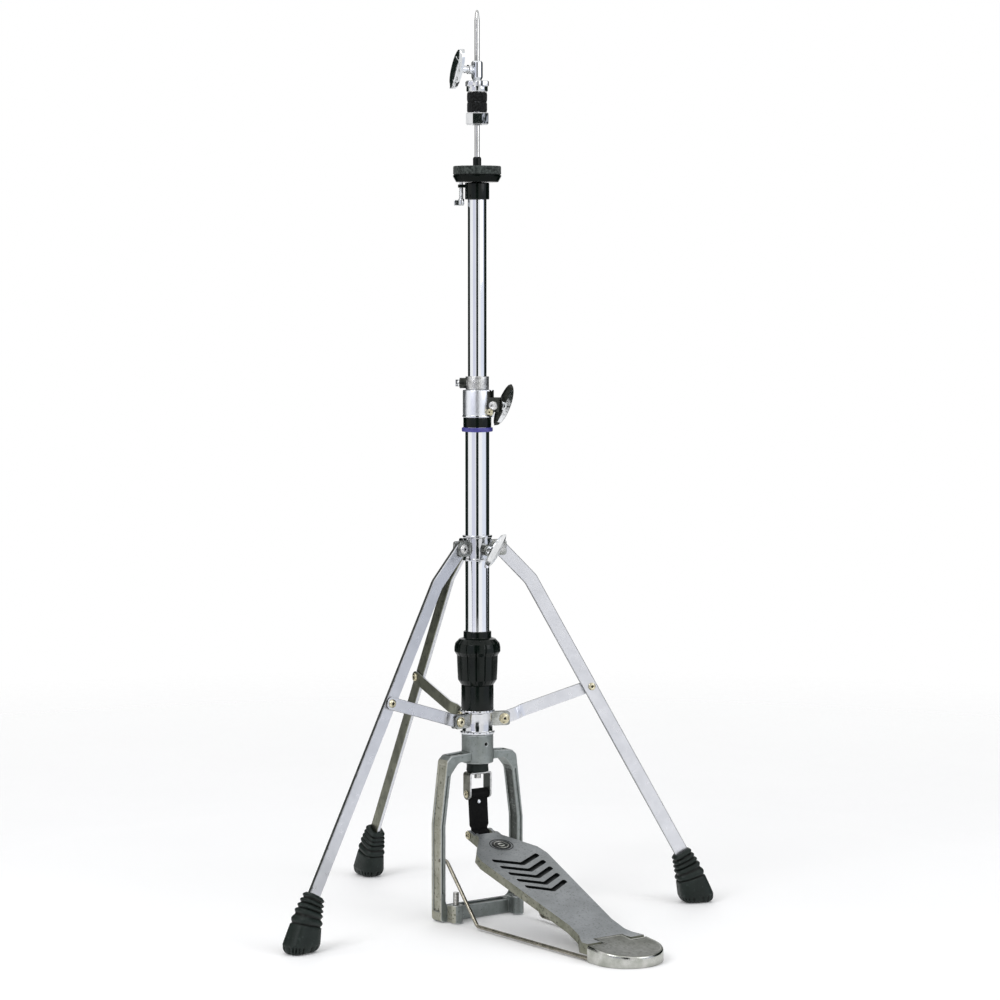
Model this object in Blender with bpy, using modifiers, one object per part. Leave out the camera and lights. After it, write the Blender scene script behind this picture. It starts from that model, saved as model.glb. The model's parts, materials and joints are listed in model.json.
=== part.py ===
"""A hi-hat stand: a sprung pull rod in a telescopic tube, worked by a footboard, on a folding tripod.

Metres, +Z up. The origin is on the floor, on the tube's axis. The heel of the footboard points to -Y.
"""

import math

import bmesh
import bpy
from mathutils import Matrix, Vector

GAP = 0.0003
OVERLAP = 0.0010
SIDES = 32
FEW_SIDES = 16
MERGE = 0.00001
RIGHT_ANGLE = math.pi / 2

# Tubes and rods, all on the Z axis.
LOWER_TUBE_R = 0.0143
LOWER_TUBE_BORE = 0.0127
LOWER_TUBE_BOTTOM = 0.1898
LOWER_TUBE_TOP = 0.6255
UPPER_TUBE_R = 0.0111
UPPER_TUBE_BORE = 0.0099
UPPER_TUBE_BOTTOM = 0.528
UPPER_TUBE_TOP = 0.8597
LOWER_ROD_R = 0.0040
PULL_ROD_R = 0.0030
ROD_BOTTOM = 0.1655
ROD_JOINT = 0.4750
ROD_TIP = 1.0680

# Pedal frame, seen from the heel: a hub on a yoke that stands on a base bar.
HUB_R = 0.0188
HUB_BOTTOM = 0.1845
HUB_TOP = 0.2190
HUB_FLOOR = 0.0050
YOKE_HALF_DEPTH = 0.0100
YOKE_FOOT_X = 0.0600
YOKE_TOP_X = 0.0490
YOKE_WALL = 0.0075
YOKE_SHOULDER_Z = 0.1860
YOKE_BEND_Z = 0.1150
YOKE_CROWN_Z = 0.1985
WINDOW_TOP_Z = 0.1880
BASE_BAR_HEIGHT = 0.0170
SPUR_X = 0.0445
SPUR_Y = -0.0190
SPUR_BLOCK = (0.0140, 0.0180, 0.0220)
SPUR_R = 0.0038
SPUR_TOP = 0.0370

# Radius rods, from the yoke to the heel plate.
RADIUS_ROD_R = 0.0022
RADIUS_ROD_EYE = (0.0602, -0.0060, 0.0740)
RADIUS_ROD_BEND = (0.0470, -0.0660, 0.0046)
RADIUS_ROD_END = (0.0380, -0.2810, 0.0036)

# Footboard and heel plate. The board is drawn flat and then tilted about the heel hinge.
HEEL_HINGE = (0.0, -0.2580, 0.0110)
BOARD_TILT = math.radians(19.3)
BOARD_TOP = 0.0070
BOARD_DEPTH = 0.0100
BOARD_SKIN = 0.0030
BOARD_TOE = 0.2580
BOARD_HEEL = -0.0030
NOTCH_HALF = 0.0208
NOTCH_END = 0.0092
HEEL_PAD = ((0.0400, -0.2672, 0.0078), (0.0400, -0.2500, 0.0200))
SLOT_COUNT = 5
SLOT_PITCH = 0.0157
SLOT_FIRST = 0.1760
SLOT_HALF = 0.0330
SLOT_RISE = 0.0155
SLOT_WIDTH = 0.0066
HEEL_PIN_R = 0.0020
HEEL_HALF = 0.0420
HEEL_FRONT = -0.2690
HEEL_ROUND_Y = -0.2850
HEEL_TOP = 0.0195
HEEL_SLOPE = math.radians(6.5)
HEEL_BLANK = 0.0250
TAB_HALF = 0.0200
TAB_FRONT = -0.2518
TOE_PIN = (0.0, -0.0040, 0.0990)
TOE_PIN_R = 0.0025
LUG_INNER = 0.0120
LUG_OUTER = 0.0165
LUG_R = 0.0055

# The link between the pull rod and the footboard.
SHACKLE_PIN_Z = 0.1475
SHACKLE_PIN_R = 0.0024
SHACKLE_INNER = 0.0134
SHACKLE_WALL = 0.0024
SHACKLE_TOP = 0.1735
SHACKLE_BOTTOM = 0.1405
SHACKLE_HALF_DEPTH = 0.0075
STRAP_HALF = 0.0130
STRAP_LOW_HALF = 0.0112
STRAP_THICK = 0.0034
STRAP_LOOP_R = 0.0056
STRAP_TOP_BORE = 0.0028
STRAP_LOW_BORE = 0.0038
BUMPER_R = 0.0133

# Tension unit.
SLEEVE_R = 0.0192
SLEEVE_BOTTOM = 0.2480
SLEEVE_TOP = 0.2772
NECK_R = 0.0169
NECK_TOP = 0.3270
SEAT_PIN_Z = 0.3020
SEAT_PIN_R = 0.0020
SEAT_PIN_REACH = 0.0168
SEAT_TRAVEL = 0.0120
SPRING_R = 0.0089
SPRING_WIRE_R = 0.0011
SPRING_BOTTOM = 0.3096
SPRING_TOP = 0.4035
SPRING_TURNS = 9
SPRING_STEPS = 10
ROD_COLLAR_Z = 0.4050

# Height clamp and memory lock.
CLAMP_R = 0.0171
CLAMP_BOTTOM = 0.5940
CLAMP_TOP = 0.6260
CLAMP_BOLT_Z = 0.6080
CLAMP_BOLT_X = 0.0240
CLAMP_BOLT_R = 0.0030
CLAMP_BOLT_TIP = 0.0250
CLAMP_WING_REACH = 0.0210
CLAMP_LUG_END = 0.0300
CLAMP_LUG_HALF = 0.0065
CLAMP_SPLIT_HALF = 0.0015
CLAMP_TURN = math.radians(-60)
CLAMP_WING_ROLL = math.radians(23)
RING_BOTTOM = 0.5770
RING_TOP = 0.5820
LOCK_BOTTOM = 0.6263
LOCK_TOP = 0.6420
LOCK_TURN = math.radians(145)
LOCK_BOLT_Z = 0.6340

# Cymbal seat. Its tilting screw stands on the side that SEAT_TURN names.
SEAT_TURN = math.radians(145)
SEAT_HUB_R = 0.0143
SEAT_HUB_BOTTOM = 0.8485
SEAT_HUB_TOP = 0.8680
SEAT_HINGE = (-0.0120, 0.8684)
CUP_TOP = 0.8770
FELT_TOP = 0.8875
TILT_SCREW_X = 0.0185
TILT_SCREW_R = 0.0024

# Clutch on the pull rod.
CLUTCH_TURN = math.radians(175)
CLUTCH_BOTTOM = 0.9355
CLUTCH_TOP = 1.0092
CLUTCH_TUBE_R = 0.0050
CLUTCH_BODY_R = 0.0067
CLUTCH_SCREW_Z = 0.9990

# Tripod. Each leg is drawn in its own plane: x is the distance from the tube's axis.
LEG_TURNS = {"right": math.radians(-19.3), "back": math.radians(84.7), "left": math.radians(-171.3)}
LOWER_COLLAR_BOTTOM = 0.2193
LOWER_COLLAR_TOP = 0.2477
UPPER_COLLAR_R = 0.0170
UPPER_COLLAR_BOTTOM = 0.4250
UPPER_COLLAR_TOP = 0.4550
COLLAR_BORE = 0.0146
LEG_PIVOT = (0.0275, 0.4400)
LEG_BEND = (0.0656, 0.4010)
LEG_END = (0.2720, 0.0366)
LEG_WIDTH = 0.0165
LEG_THICK = 0.0050
BRACE_IN = (0.0320, 0.2360)
BRACE_OUT = (0.1419, 0.2694)
BRACE_WIDTH = 0.0150
BRACE_THICK = 0.0030
BRACE_OFFSET = 0.0044
BRACE_STRAIGHT = 0.0150
BRACE_JOGGLE = 0.0130
BOLT_R = 0.0030
BOLT_HEAD_R = 0.0055
EAR_WALL = 0.0027
COLLAR_SCREW_TURN = math.radians(-91)
COLLAR_SCREW_Z = 0.4385
FOOT_SECTIONS = (
    (0.2565, 0.0625, 29.5, 0.0108, 0.0090),
    (0.2650, 0.0430, 22.0, 0.0150, 0.0120),
    (0.2760, 0.0100, 3.0, 0.0210, 0.0155),
    (0.2780, 0.0000, 0.0, 0.0190, 0.0138),
)

XZ_PLANE = Matrix.Rotation(RIGHT_ANGLE, 4, "X")
YZ_PLANE = Matrix(((0, 0, 1, 0), (1, 0, 0, 0), (0, 1, 0, 0), (0, 0, 0, 1)))
XY_PLANE = Matrix.Identity(4)
UPRIGHT = (0, 0, 1)


# ---------------------------------------------------------------- scene and materials


def clear_scene():
    for obj in list(bpy.data.objects):
        bpy.data.objects.remove(obj, do_unlink=True)


def new_collection(name):
    collection = bpy.data.collections.new(name)
    bpy.context.scene.collection.children.link(collection)
    return collection


def material(name, colour, roughness, metallic):
    made = bpy.data.materials.new(name)
    made.use_nodes = True
    shader = made.node_tree.nodes["Principled BSDF"]
    shader.inputs["Base Color"].default_value = (*colour, 1.0)
    shader.inputs["Roughness"].default_value = roughness
    shader.inputs["Metallic"].default_value = metallic
    made.diffuse_color = (*colour, 1.0)
    return made


clear_scene()
PARTS = new_collection("hi_hat_stand")
CUTTERS = new_collection("cutters")
CUTTERS.hide_render = True

CHROME = material("chrome", (0.78, 0.79, 0.80), 0.08, 1.0)
SATIN_STEEL = material("satin_steel", (0.60, 0.61, 0.64), 0.32, 1.0)
ZINC = material("zinc", (0.55, 0.52, 0.44), 0.38, 1.0)
CAST_ALUMINIUM = material("cast_aluminium", (0.38, 0.40, 0.39), 0.45, 1.0)
BLACK_PLASTIC = material("black_plastic", (0.018, 0.022, 0.021), 0.32, 0.0)
BLUE_NYLON = material("blue_nylon", (0.07, 0.07, 0.17), 0.40, 0.0)
BLACK_RUBBER = material("black_rubber", (0.022, 0.028, 0.026), 0.70, 0.0)
BLACK_FELT = material("black_felt", (0.012, 0.013, 0.014), 0.95, 0.0)
GREY_FELT = material("grey_felt", (0.060, 0.070, 0.062), 0.95, 0.0)
WEBBING = material("webbing", (0.010, 0.010, 0.011), 0.80, 0.0)


# ---------------------------------------------------------------- outlines


def arc(centre, radius, start, end, steps):
    """Points on an arc, both ends included."""
    angles = [start + (end - start) * i / steps for i in range(steps + 1)]
    return [(centre[0] + radius * math.cos(a), centre[1] + radius * math.sin(a)) for a in angles]


def circle(centre, radius, steps=FEW_SIDES):
    return arc(centre, radius, 0.0, 2 * math.pi, steps)[:-1]


def stadium(first, last, radius, steps=8):
    """An outline with round ends about two points."""
    along = math.atan2(last[1] - first[1], last[0] - first[0])
    far = arc(last, radius, along - RIGHT_ANGLE, along + RIGHT_ANGLE, steps)
    near = arc(first, radius, along + RIGHT_ANGLE, along + 3 * RIGHT_ANGLE, steps)
    return far + near


def rounded(corners, radius, steps=4):
    """The polygon with each corner replaced by a short arc."""
    points = []
    for i, corner in enumerate(corners):
        here = Vector(corner)
        back = (Vector(corners[i - 1]) - here).normalized()
        ahead = (Vector(corners[(i + 1) % len(corners)]) - here).normalized()
        half = math.acos(max(-1.0, min(1.0, back.dot(ahead)))) / 2
        if half > RIGHT_ANGLE - 0.05:
            points.append(corner)
            continue
        centre = here + (back + ahead).normalized() * radius / math.sin(half)
        first = here + back * radius / math.tan(half)
        last = here + ahead * radius / math.tan(half)
        for k in range(steps + 1):
            chord = first.lerp(last, k / steps) - centre
            points.append(tuple(centre + chord.normalized() * radius))
    return points


def mirrored(half):
    """A half outline at positive x, closed with its mirror image."""
    return list(half) + [(-x, y) for x, y in reversed(half)]


# ---------------------------------------------------------------- objects


def finish(obj, paint, frame, tool):
    obj.parent = frame
    (CUTTERS if tool else PARTS).objects.link(obj)
    if tool:
        obj.hide_render = True
        obj.display_type = "WIRE"
    else:
        obj.data.materials.append(paint)
    return obj


def shade(obj):
    if isinstance(obj.data, bpy.types.Mesh):
        obj.data.shade_smooth()
        obj.data.set_sharp_from_angle(angle=math.radians(35))


def from_bmesh(name, bm, paint=None, pivot=(0, 0, 0), frame=None, tool=False):
    """An object from a bmesh drawn in its frame, with its origin moved to the pivot."""
    bmesh.ops.translate(bm, verts=bm.verts, vec=-Vector(pivot))
    bmesh.ops.recalc_face_normals(bm, faces=bm.faces)
    mesh = bpy.data.meshes.new(name)
    bm.to_mesh(mesh)
    bm.free()
    obj = bpy.data.objects.new(name, mesh)
    obj.location = pivot
    finish(obj, paint, frame, tool)
    shade(obj)
    return obj


def turned(name, profile, paint=None, pivot=(0, 0, 0), axis=UPRIGHT, frame=None, tool=False,
           ring=True, sides=SIDES):
    """A profile of (radius, height) points, outer side first from the top, turned about an axis."""
    mesh = bpy.data.meshes.new(name)
    count = len(profile)
    edges = [(i, i + 1) for i in range(count - 1)]
    if ring:
        edges.append((count - 1, 0))
    mesh.from_pydata([(r, 0.0, z) for r, z in profile], edges, [])
    obj = bpy.data.objects.new(name, mesh)
    obj.location = pivot
    if axis != UPRIGHT:
        obj.rotation_euler = Vector(axis).to_track_quat("Z", "Y").to_euler()
    screw = obj.modifiers.new("turn", "SCREW")
    screw.steps = sides
    screw.render_steps = sides
    screw.use_merge_vertices = True
    screw.merge_threshold = MERGE
    screw.use_smooth_shade = True
    finish(obj, paint, frame, tool)
    return obj


def raised(profile, base):
    """The profile with its heights measured from the base."""
    return [(r, z - base) for r, z in profile]


def outline_mesh(outlines, thickness, plane, centre):
    """A bmesh of flat outlines extruded by the thickness; outlines inside the first are holes."""
    curve = bpy.data.curves.new("outline", "CURVE")
    curve.dimensions = "2D"
    curve.fill_mode = "BOTH"
    curve.extrude = thickness / 2
    for outline in outlines:
        spline = curve.splines.new("POLY")
        spline.points.add(len(outline) - 1)
        spline.use_cyclic_u = True
        for point, (x, y) in zip(spline.points, outline):
            point.co = (x, y, 0.0, 1.0)
    guide = bpy.data.objects.new("outline", curve)
    PARTS.objects.link(guide)
    graph = bpy.context.evaluated_depsgraph_get()
    mesh = bpy.data.meshes.new_from_object(guide.evaluated_get(graph))
    bpy.data.objects.remove(guide, do_unlink=True)
    bm = bmesh.new()
    bm.from_mesh(mesh)
    bpy.data.meshes.remove(mesh)
    bmesh.ops.remove_doubles(bm, verts=bm.verts, dist=MERGE)
    bmesh.ops.transform(bm, matrix=Matrix.Translation(centre) @ plane, verts=bm.verts)
    return bm


def plate(name, outlines, thickness, plane, centre=(0, 0, 0), paint=None, pivot=(0, 0, 0), frame=None,
          tool=False):
    bm = outline_mesh(outlines, thickness, plane, centre)
    return from_bmesh(name, bm, paint, pivot, frame, tool)


def box_mesh(low, high):
    bm = bmesh.new()
    size = Vector(high) - Vector(low)
    middle = (Vector(high) + Vector(low)) / 2
    bmesh.ops.create_cube(bm, size=1.0, matrix=Matrix.Translation(middle) @ Matrix.Diagonal((*size, 1.0)))
    return bm


def box(name, low, high, paint=None, pivot=(0, 0, 0), frame=None, tool=False):
    return from_bmesh(name, box_mesh(low, high), paint, pivot, frame, tool)


def bar_mesh(start, end, radius, sides=FEW_SIDES):
    """A bmesh of a round bar between two points."""
    bm = bmesh.new()
    start = Vector(start)
    along = Vector(end) - start
    turn = along.to_track_quat("Z", "Y").to_matrix().to_4x4()
    place = Matrix.Translation(start + along / 2) @ turn
    bmesh.ops.create_cone(bm, cap_ends=True, segments=sides, radius1=radius, radius2=radius,
                          depth=along.length, matrix=place)
    return bm


def bar(name, start, end, radius, paint=None, pivot=(0, 0, 0), frame=None, tool=False, sides=FEW_SIDES):
    return from_bmesh(name, bar_mesh(start, end, radius, sides), paint, pivot, frame, tool)


def wire(name, points, radius, paint, frame=None):
    """A round wire through the points."""
    curve = bpy.data.curves.new(name, "CURVE")
    curve.dimensions = "3D"
    curve.bevel_depth = radius
    curve.bevel_resolution = 2
    curve.use_fill_caps = True
    spline = curve.splines.new("POLY")
    spline.points.add(len(points) - 1)
    for point, place in zip(spline.points, points):
        point.co = (*place, 1.0)
    obj = bpy.data.objects.new(name, curve)
    return finish(obj, paint, frame, False)


def combine(obj, tool, operation):
    modifier = obj.modifiers.new(f"{operation.lower()} {tool.name}", "BOOLEAN")
    modifier.operation = operation
    modifier.object = tool
    modifier.solver = "EXACT"


def fuse(obj, *tools):
    for tool in tools:
        combine(obj, tool, "UNION")


def cut(obj, *tools):
    for tool in tools:
        combine(obj, tool, "DIFFERENCE")


def empty(name, turn):
    obj = bpy.data.objects.new(name, None)
    obj.rotation_euler = (0.0, 0.0, turn)
    PARTS.objects.link(obj)
    return obj


def tube_profile(outer, inner, bottom, top):
    return [(outer, top), (outer, bottom), (inner, bottom), (inner, top)]


# ---------------------------------------------------------------- shared pieces


def headed_pin(name, radius, head_radius, half_length, head, paint, pivot, axis, frame=None):
    """A round pin with a low head at each end, turned about its own axis."""
    tip = half_length + head
    profile = [
        (0.0, tip),
        (head_radius * 0.6, tip),
        (head_radius, tip - head * 0.6),
        (head_radius, half_length),
        (radius, half_length),
        (radius, -half_length),
        (head_radius, -half_length),
        (head_radius, -tip + head * 0.6),
        (head_radius * 0.6, -tip),
        (0.0, -tip),
    ]
    return turned(name, profile, paint, pivot, axis, frame, ring=False, sides=FEW_SIDES)


def wing_part(name, profile, reach, length, width, thick, roll, paint, pivot, axis, frame=None):
    """A turned stem along an axis, with a flat wing across it at the given reach."""
    obj = turned(name, profile, paint, pivot, axis, frame, ring=False, sides=FEW_SIDES)
    half = length / 2 - width / 2
    bm = outline_mesh([stadium((0, -half), (0, half), width / 2)], thick, XY_PLANE, (0, 0, reach))
    bmesh.ops.rotate(bm, verts=bm.verts, cent=(0, 0, 0), matrix=Matrix.Rotation(roll, 3, "Z"))
    wing = from_bmesh(f"{name}_wing", bm, tool=True)
    wing.parent = obj
    fuse(obj, wing)
    return obj


# ---------------------------------------------------------------- pedal frame


def yoke_outline():
    foot = YOKE_FOOT_X
    return mirrored(
        [
            (foot, 0.0),
            (foot, YOKE_BEND_Z),
            (YOKE_TOP_X, YOKE_SHOULDER_Z),
            (YOKE_TOP_X - 0.008, YOKE_CROWN_Z - 0.003),
            (HUB_R - 0.004, YOKE_CROWN_Z),
        ]
    )


def window_outline():
    foot = YOKE_FOOT_X - YOKE_WALL
    top = YOKE_TOP_X - YOKE_WALL + 0.0035
    return mirrored(
        [
            (foot, BASE_BAR_HEIGHT),
            (foot, YOKE_BEND_Z),
            (top, WINDOW_TOP_Z - 0.014),
            (top - 0.012, WINDOW_TOP_Z),
        ]
    )


def pedal_frame():
    depth = 2 * YOKE_HALF_DEPTH
    outlines = [rounded(yoke_outline(), 0.004), rounded(window_outline(), 0.004)]
    frame = plate("pedal_frame", outlines, depth, XZ_PLANE, paint=CAST_ALUMINIUM)
    hub = bar("hub", (0, 0, HUB_BOTTOM), (0, 0, HUB_TOP), HUB_R, tool=True, sides=SIDES)
    socket_bottom = HUB_BOTTOM + HUB_FLOOR
    socket = bar("hub_socket", (0, 0, socket_bottom), (0, 0, HUB_TOP + 0.01), COLLAR_BORE, tool=True,
                 sides=SIDES)
    rod_hole = bar("rod_hole", (0, 0, HUB_BOTTOM - 0.005), (0, 0, HUB_TOP), LOWER_ROD_R + 0.0006, tool=True)
    fuse(frame, hub)
    cut(frame, socket, rod_hole)
    for side in (-1, 1):
        fuse(frame, spur_block(side))
        cut(frame, spur_hole(side), radius_rod_hole(side))
    return frame


def spur_block(side):
    width, depth, height = SPUR_BLOCK
    x = side * SPUR_X
    back = OVERLAP - YOKE_HALF_DEPTH
    low = (x - width / 2, back - depth, 0.0)
    high = (x + width / 2, back, height)
    return box("spur_block", low, high, tool=True)


def spur_hole(side):
    x = side * SPUR_X
    return bar("spur_hole", (x, SPUR_Y, -0.01), (x, SPUR_Y, 0.05), SPUR_R + 0.0004, tool=True)


def radius_rod_hole(side):
    x, y, z = RADIUS_ROD_EYE
    ends = ((side * (x - 0.02), y, z), (side * (x + 0.01), y, z))
    return bar("radius_rod_hole", *ends, RADIUS_ROD_R + 0.0004, tool=True)


def spur_screw(name, side):
    tip = 0.0008
    profile = [
        (0.0, SPUR_TOP - tip),
        (SPUR_R * 0.7, SPUR_TOP - tip),
        (SPUR_R, SPUR_TOP - tip - 0.001),
        (SPUR_R, 0.005),
        (0.0, 0.0),
    ]
    pivot = (side * SPUR_X, SPUR_Y, tip)
    return turned(name, profile, ZINC, pivot, ring=False, sides=FEW_SIDES)


def radius_rod(name, side):
    eye = Vector(RADIUS_ROD_EYE)
    elbow = Vector((YOKE_FOOT_X - YOKE_WALL - 0.0030, eye.y, eye.z))
    bend = Vector(RADIUS_ROD_BEND)
    end = Vector(RADIUS_ROD_END)
    soft = 0.006
    points = [
        eye,
        elbow,
        elbow + (bend - elbow).normalized() * soft,
        bend + (elbow - bend).normalized() * soft,
        bend + (end - bend).normalized() * soft,
        end,
    ]
    return wire(name, [(side * p.x, p.y, p.z) for p in points], RADIUS_ROD_R, SATIN_STEEL)


# ---------------------------------------------------------------- heel plate and footboard


def heel_plate():
    half = HEEL_HALF
    front = [(half, HEEL_FRONT), (half, HEEL_ROUND_Y)]
    round_end = arc((0.0, HEEL_ROUND_Y), half, 0.0, -math.pi, 20)
    outline = [front[0], *round_end, (-half, HEEL_FRONT)]
    heel = plate("heel_plate", [outline], HEEL_BLANK, XY_PLANE, (0, 0, HEEL_BLANK / 2), CAST_ALUMINIUM)
    tab = box("heel_tab", (-TAB_HALF, HEEL_FRONT - 0.010, 0.0040), (TAB_HALF, TAB_FRONT, HEEL_BLANK), tool=True)
    top = box("heel_top", (-0.06, -0.10, 0.0), (0.06, 0.03, 0.03), tool=True)
    top.location = (0.0, HEEL_FRONT, HEEL_TOP)
    top.rotation_euler = (HEEL_SLOPE, 0.0, 0.0)
    pin_hole = bar("heel_pin_hole", (-0.05, *HEEL_HINGE[1:]), (0.05, *HEEL_HINGE[1:]), HEEL_PIN_R + GAP,
                   tool=True)
    fuse(heel, tab)
    cut(heel, top, pin_hole)
    for side in (-1, 1):
        x, y, z = RADIUS_ROD_END
        start = (side * x, y - 0.001, z)
        away = (side * (x + 0.0012), HEEL_FRONT + 0.010, z)
        cut(heel, bar("heel_rod_hole", start, away, RADIUS_ROD_R + 0.0006, tool=True))
    return heel


def board_outline(inset):
    """Half widths along the board, from toe to heel, drawn in from the edge by the inset."""
    half = [
        (LUG_OUTER - inset, BOARD_TOE - inset),
        (LUG_OUTER - inset, 0.2480),
        (0.0440 - inset, 0.2120),
        (0.0470 - inset, 0.1960),
        (0.0300 - inset, 0.0420),
        (0.0320 - inset, 0.0200),
        (0.0400 - inset, 0.0040 + inset),
        (0.0400 - inset, BOARD_HEEL + inset),
    ]
    return mirrored(half)


def chevron(index):
    """One slot across the board, its point towards the heel."""
    tip = SLOT_FIRST - index * SLOT_PITCH
    half = SLOT_HALF - index * 0.0010
    shoulder = tip + SLOT_RISE
    return [
        (half, shoulder),
        (half, shoulder + SLOT_WIDTH),
        (0.0, tip + SLOT_WIDTH),
        (-half, shoulder + SLOT_WIDTH),
        (-half, shoulder),
        (0.0, tip),
    ]


def board_frame():
    """An empty at the heel hinge, tilted as the board is."""
    frame = empty("board_frame", 0.0)
    frame.location = HEEL_HINGE
    frame.rotation_euler = (BOARD_TILT, 0.0, 0.0)
    return frame


def toe_pin_in_board():
    """The toe pin's place in the board's own tilted frame."""
    offset = Vector(TOE_PIN) - Vector(HEEL_HINGE)
    return Matrix.Rotation(-BOARD_TILT, 3, "X") @ offset


def footboard(frame):
    middle = BOARD_TOP - BOARD_DEPTH / 2
    outline = rounded(board_outline(0.0), 0.003, 3)
    slots = [chevron(i) for i in range(SLOT_COUNT)]
    board = plate("footboard", [outline, *slots], BOARD_DEPTH, XY_PLANE, (0, 0, middle), CAST_ALUMINIUM,
                  frame=frame)
    wall = 0.0035
    pocket_low = -0.02
    pocket_high = BOARD_TOP - BOARD_SKIN
    pocket_outline = [(x, min(max(y, 0.014), 0.240)) for x, y in board_outline(wall)]
    pocket = plate("board_pocket", [pocket_outline], pocket_high - pocket_low, XY_PLANE,
                   (0, 0, (pocket_low + pocket_high) / 2), frame=frame, tool=True)
    cut(board, pocket)
    for side in (-1, 1):
        fuse(board, toe_lug(frame, side))
    fuse(board, heel_pad())
    cut(board, *board_cutters(frame))
    return board


def toe_lug(frame, side):
    pin = toe_pin_in_board()
    first = (BOARD_TOE - 0.012, pin.z)
    centre = (side * (LUG_INNER + LUG_OUTER) / 2, 0, 0)
    outline = stadium(first, (pin.y, pin.z), LUG_R)
    return plate("toe_lug", [outline], LUG_OUTER - LUG_INNER, YZ_PLANE, centre, frame=frame, tool=True)


def heel_pad():
    """A level block under the heel end of the board, which carries the hinge pin."""
    (half, back, bottom), (_, front, top) = HEEL_PAD
    return box("heel_pad", (-half, back, bottom), (half, front, top), tool=True)


def board_cutters(frame):
    pin = toe_pin_in_board()
    throat = box("toe_throat", (-LUG_INNER, BOARD_TOE - 0.0030, -0.02), (LUG_INNER, 0.30, 0.02), frame=frame,
                 tool=True)
    toe_hole = bar("toe_hole", (-0.03, pin.y, pin.z), (0.03, pin.y, pin.z), TOE_PIN_R + GAP, frame=frame,
                   tool=True)
    heel_hole = bar("heel_hole", (-0.05, 0, 0), (0.05, 0, 0), HEEL_PIN_R + GAP, frame=frame, tool=True)
    notch = box("notch", (-NOTCH_HALF, -0.02, -0.02), (NOTCH_HALF, NOTCH_END, 0.02), frame=frame, tool=True)
    return throat, toe_hole, heel_hole, notch


def heel_hinge_pin():
    half = 0.0365
    profile = [(0.0, half), (HEEL_PIN_R, half), (HEEL_PIN_R, -half), (0.0, -half)]
    return turned("heel_hinge_pin", profile, ZINC, HEEL_HINGE, (1, 0, 0), ring=False, sides=FEW_SIDES)


def toe_pin():
    return headed_pin("toe_pin", TOE_PIN_R, 0.0042, LUG_OUTER + GAP, 0.0018, ZINC, TOE_PIN, (1, 0, 0))


# ---------------------------------------------------------------- pull rod, strap and shackle


def lower_rod():
    collar_top = ROD_COLLAR_Z + 0.006
    socket_r = PULL_ROD_R + GAP
    profile = [
        (0.0055, ROD_JOINT + 0.020),
        (0.0055, ROD_JOINT - 0.020),
        (LOWER_ROD_R, ROD_JOINT - 0.0215),
        (LOWER_ROD_R, collar_top),
        (0.0122, collar_top),
        (0.0122, ROD_COLLAR_Z),
        (LOWER_ROD_R, ROD_COLLAR_Z),
        (LOWER_ROD_R, ROD_BOTTOM),
        (0.0, ROD_BOTTOM),
        (0.0, ROD_JOINT),
        (socket_r, ROD_JOINT),
        (socket_r, ROD_JOINT + 0.020),
    ]
    return turned("lower_rod", profile, SATIN_STEEL, sides=24)


def pull_rod():
    bottom = ROD_JOINT + GAP
    profile = [
        (0.0, ROD_TIP),
        (0.0012, ROD_TIP),
        (PULL_ROD_R, ROD_TIP - 0.004),
        (PULL_ROD_R, bottom),
        (0.0, bottom),
    ]
    return turned("pull_rod", profile, CHROME, ring=False, sides=24)


def rod_bumper():
    profile = tube_profile(BUMPER_R, LOWER_ROD_R + GAP, SHACKLE_TOP + GAP, HUB_BOTTOM - GAP)
    return turned("rod_bumper", profile, BLACK_RUBBER)


def strap_shackle():
    outer = SHACKLE_INNER + SHACKLE_WALL
    bridge = SHACKLE_TOP - SHACKLE_WALL
    arch = mirrored(
        [
            (outer, SHACKLE_BOTTOM + 0.003),
            (outer, SHACKLE_TOP - 0.002),
            (outer - 0.002, SHACKLE_TOP),
        ]
    )
    inside = [(-SHACKLE_INNER, bridge), (SHACKLE_INNER, bridge)]
    feet = [(-outer + 0.001, SHACKLE_BOTTOM), (-SHACKLE_INNER, SHACKLE_BOTTOM)]
    feet_right = [(SHACKLE_INNER, SHACKLE_BOTTOM), (outer - 0.001, SHACKLE_BOTTOM)]
    outline = arch + feet + inside + feet_right
    shackle = plate("strap_shackle", [outline], 2 * SHACKLE_HALF_DEPTH, XZ_PLANE, paint=SATIN_STEEL)
    rod_hole = bar("shackle_rod_hole", (0, 0, 0.165), (0, 0, 0.180), LOWER_ROD_R + GAP, tool=True)
    pin_hole = bar("shackle_pin_hole", (-0.03, 0, SHACKLE_PIN_Z), (0.03, 0, SHACKLE_PIN_Z),
                   SHACKLE_PIN_R + GAP, tool=True)
    cut(shackle, rod_hole, pin_hole)
    return shackle


def shackle_pin():
    half = SHACKLE_INNER + SHACKLE_WALL + GAP
    return headed_pin("shackle_pin", SHACKLE_PIN_R, 0.0036, half, 0.0014, ZINC, (0, 0, SHACKLE_PIN_Z), (1, 0, 0))


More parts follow.
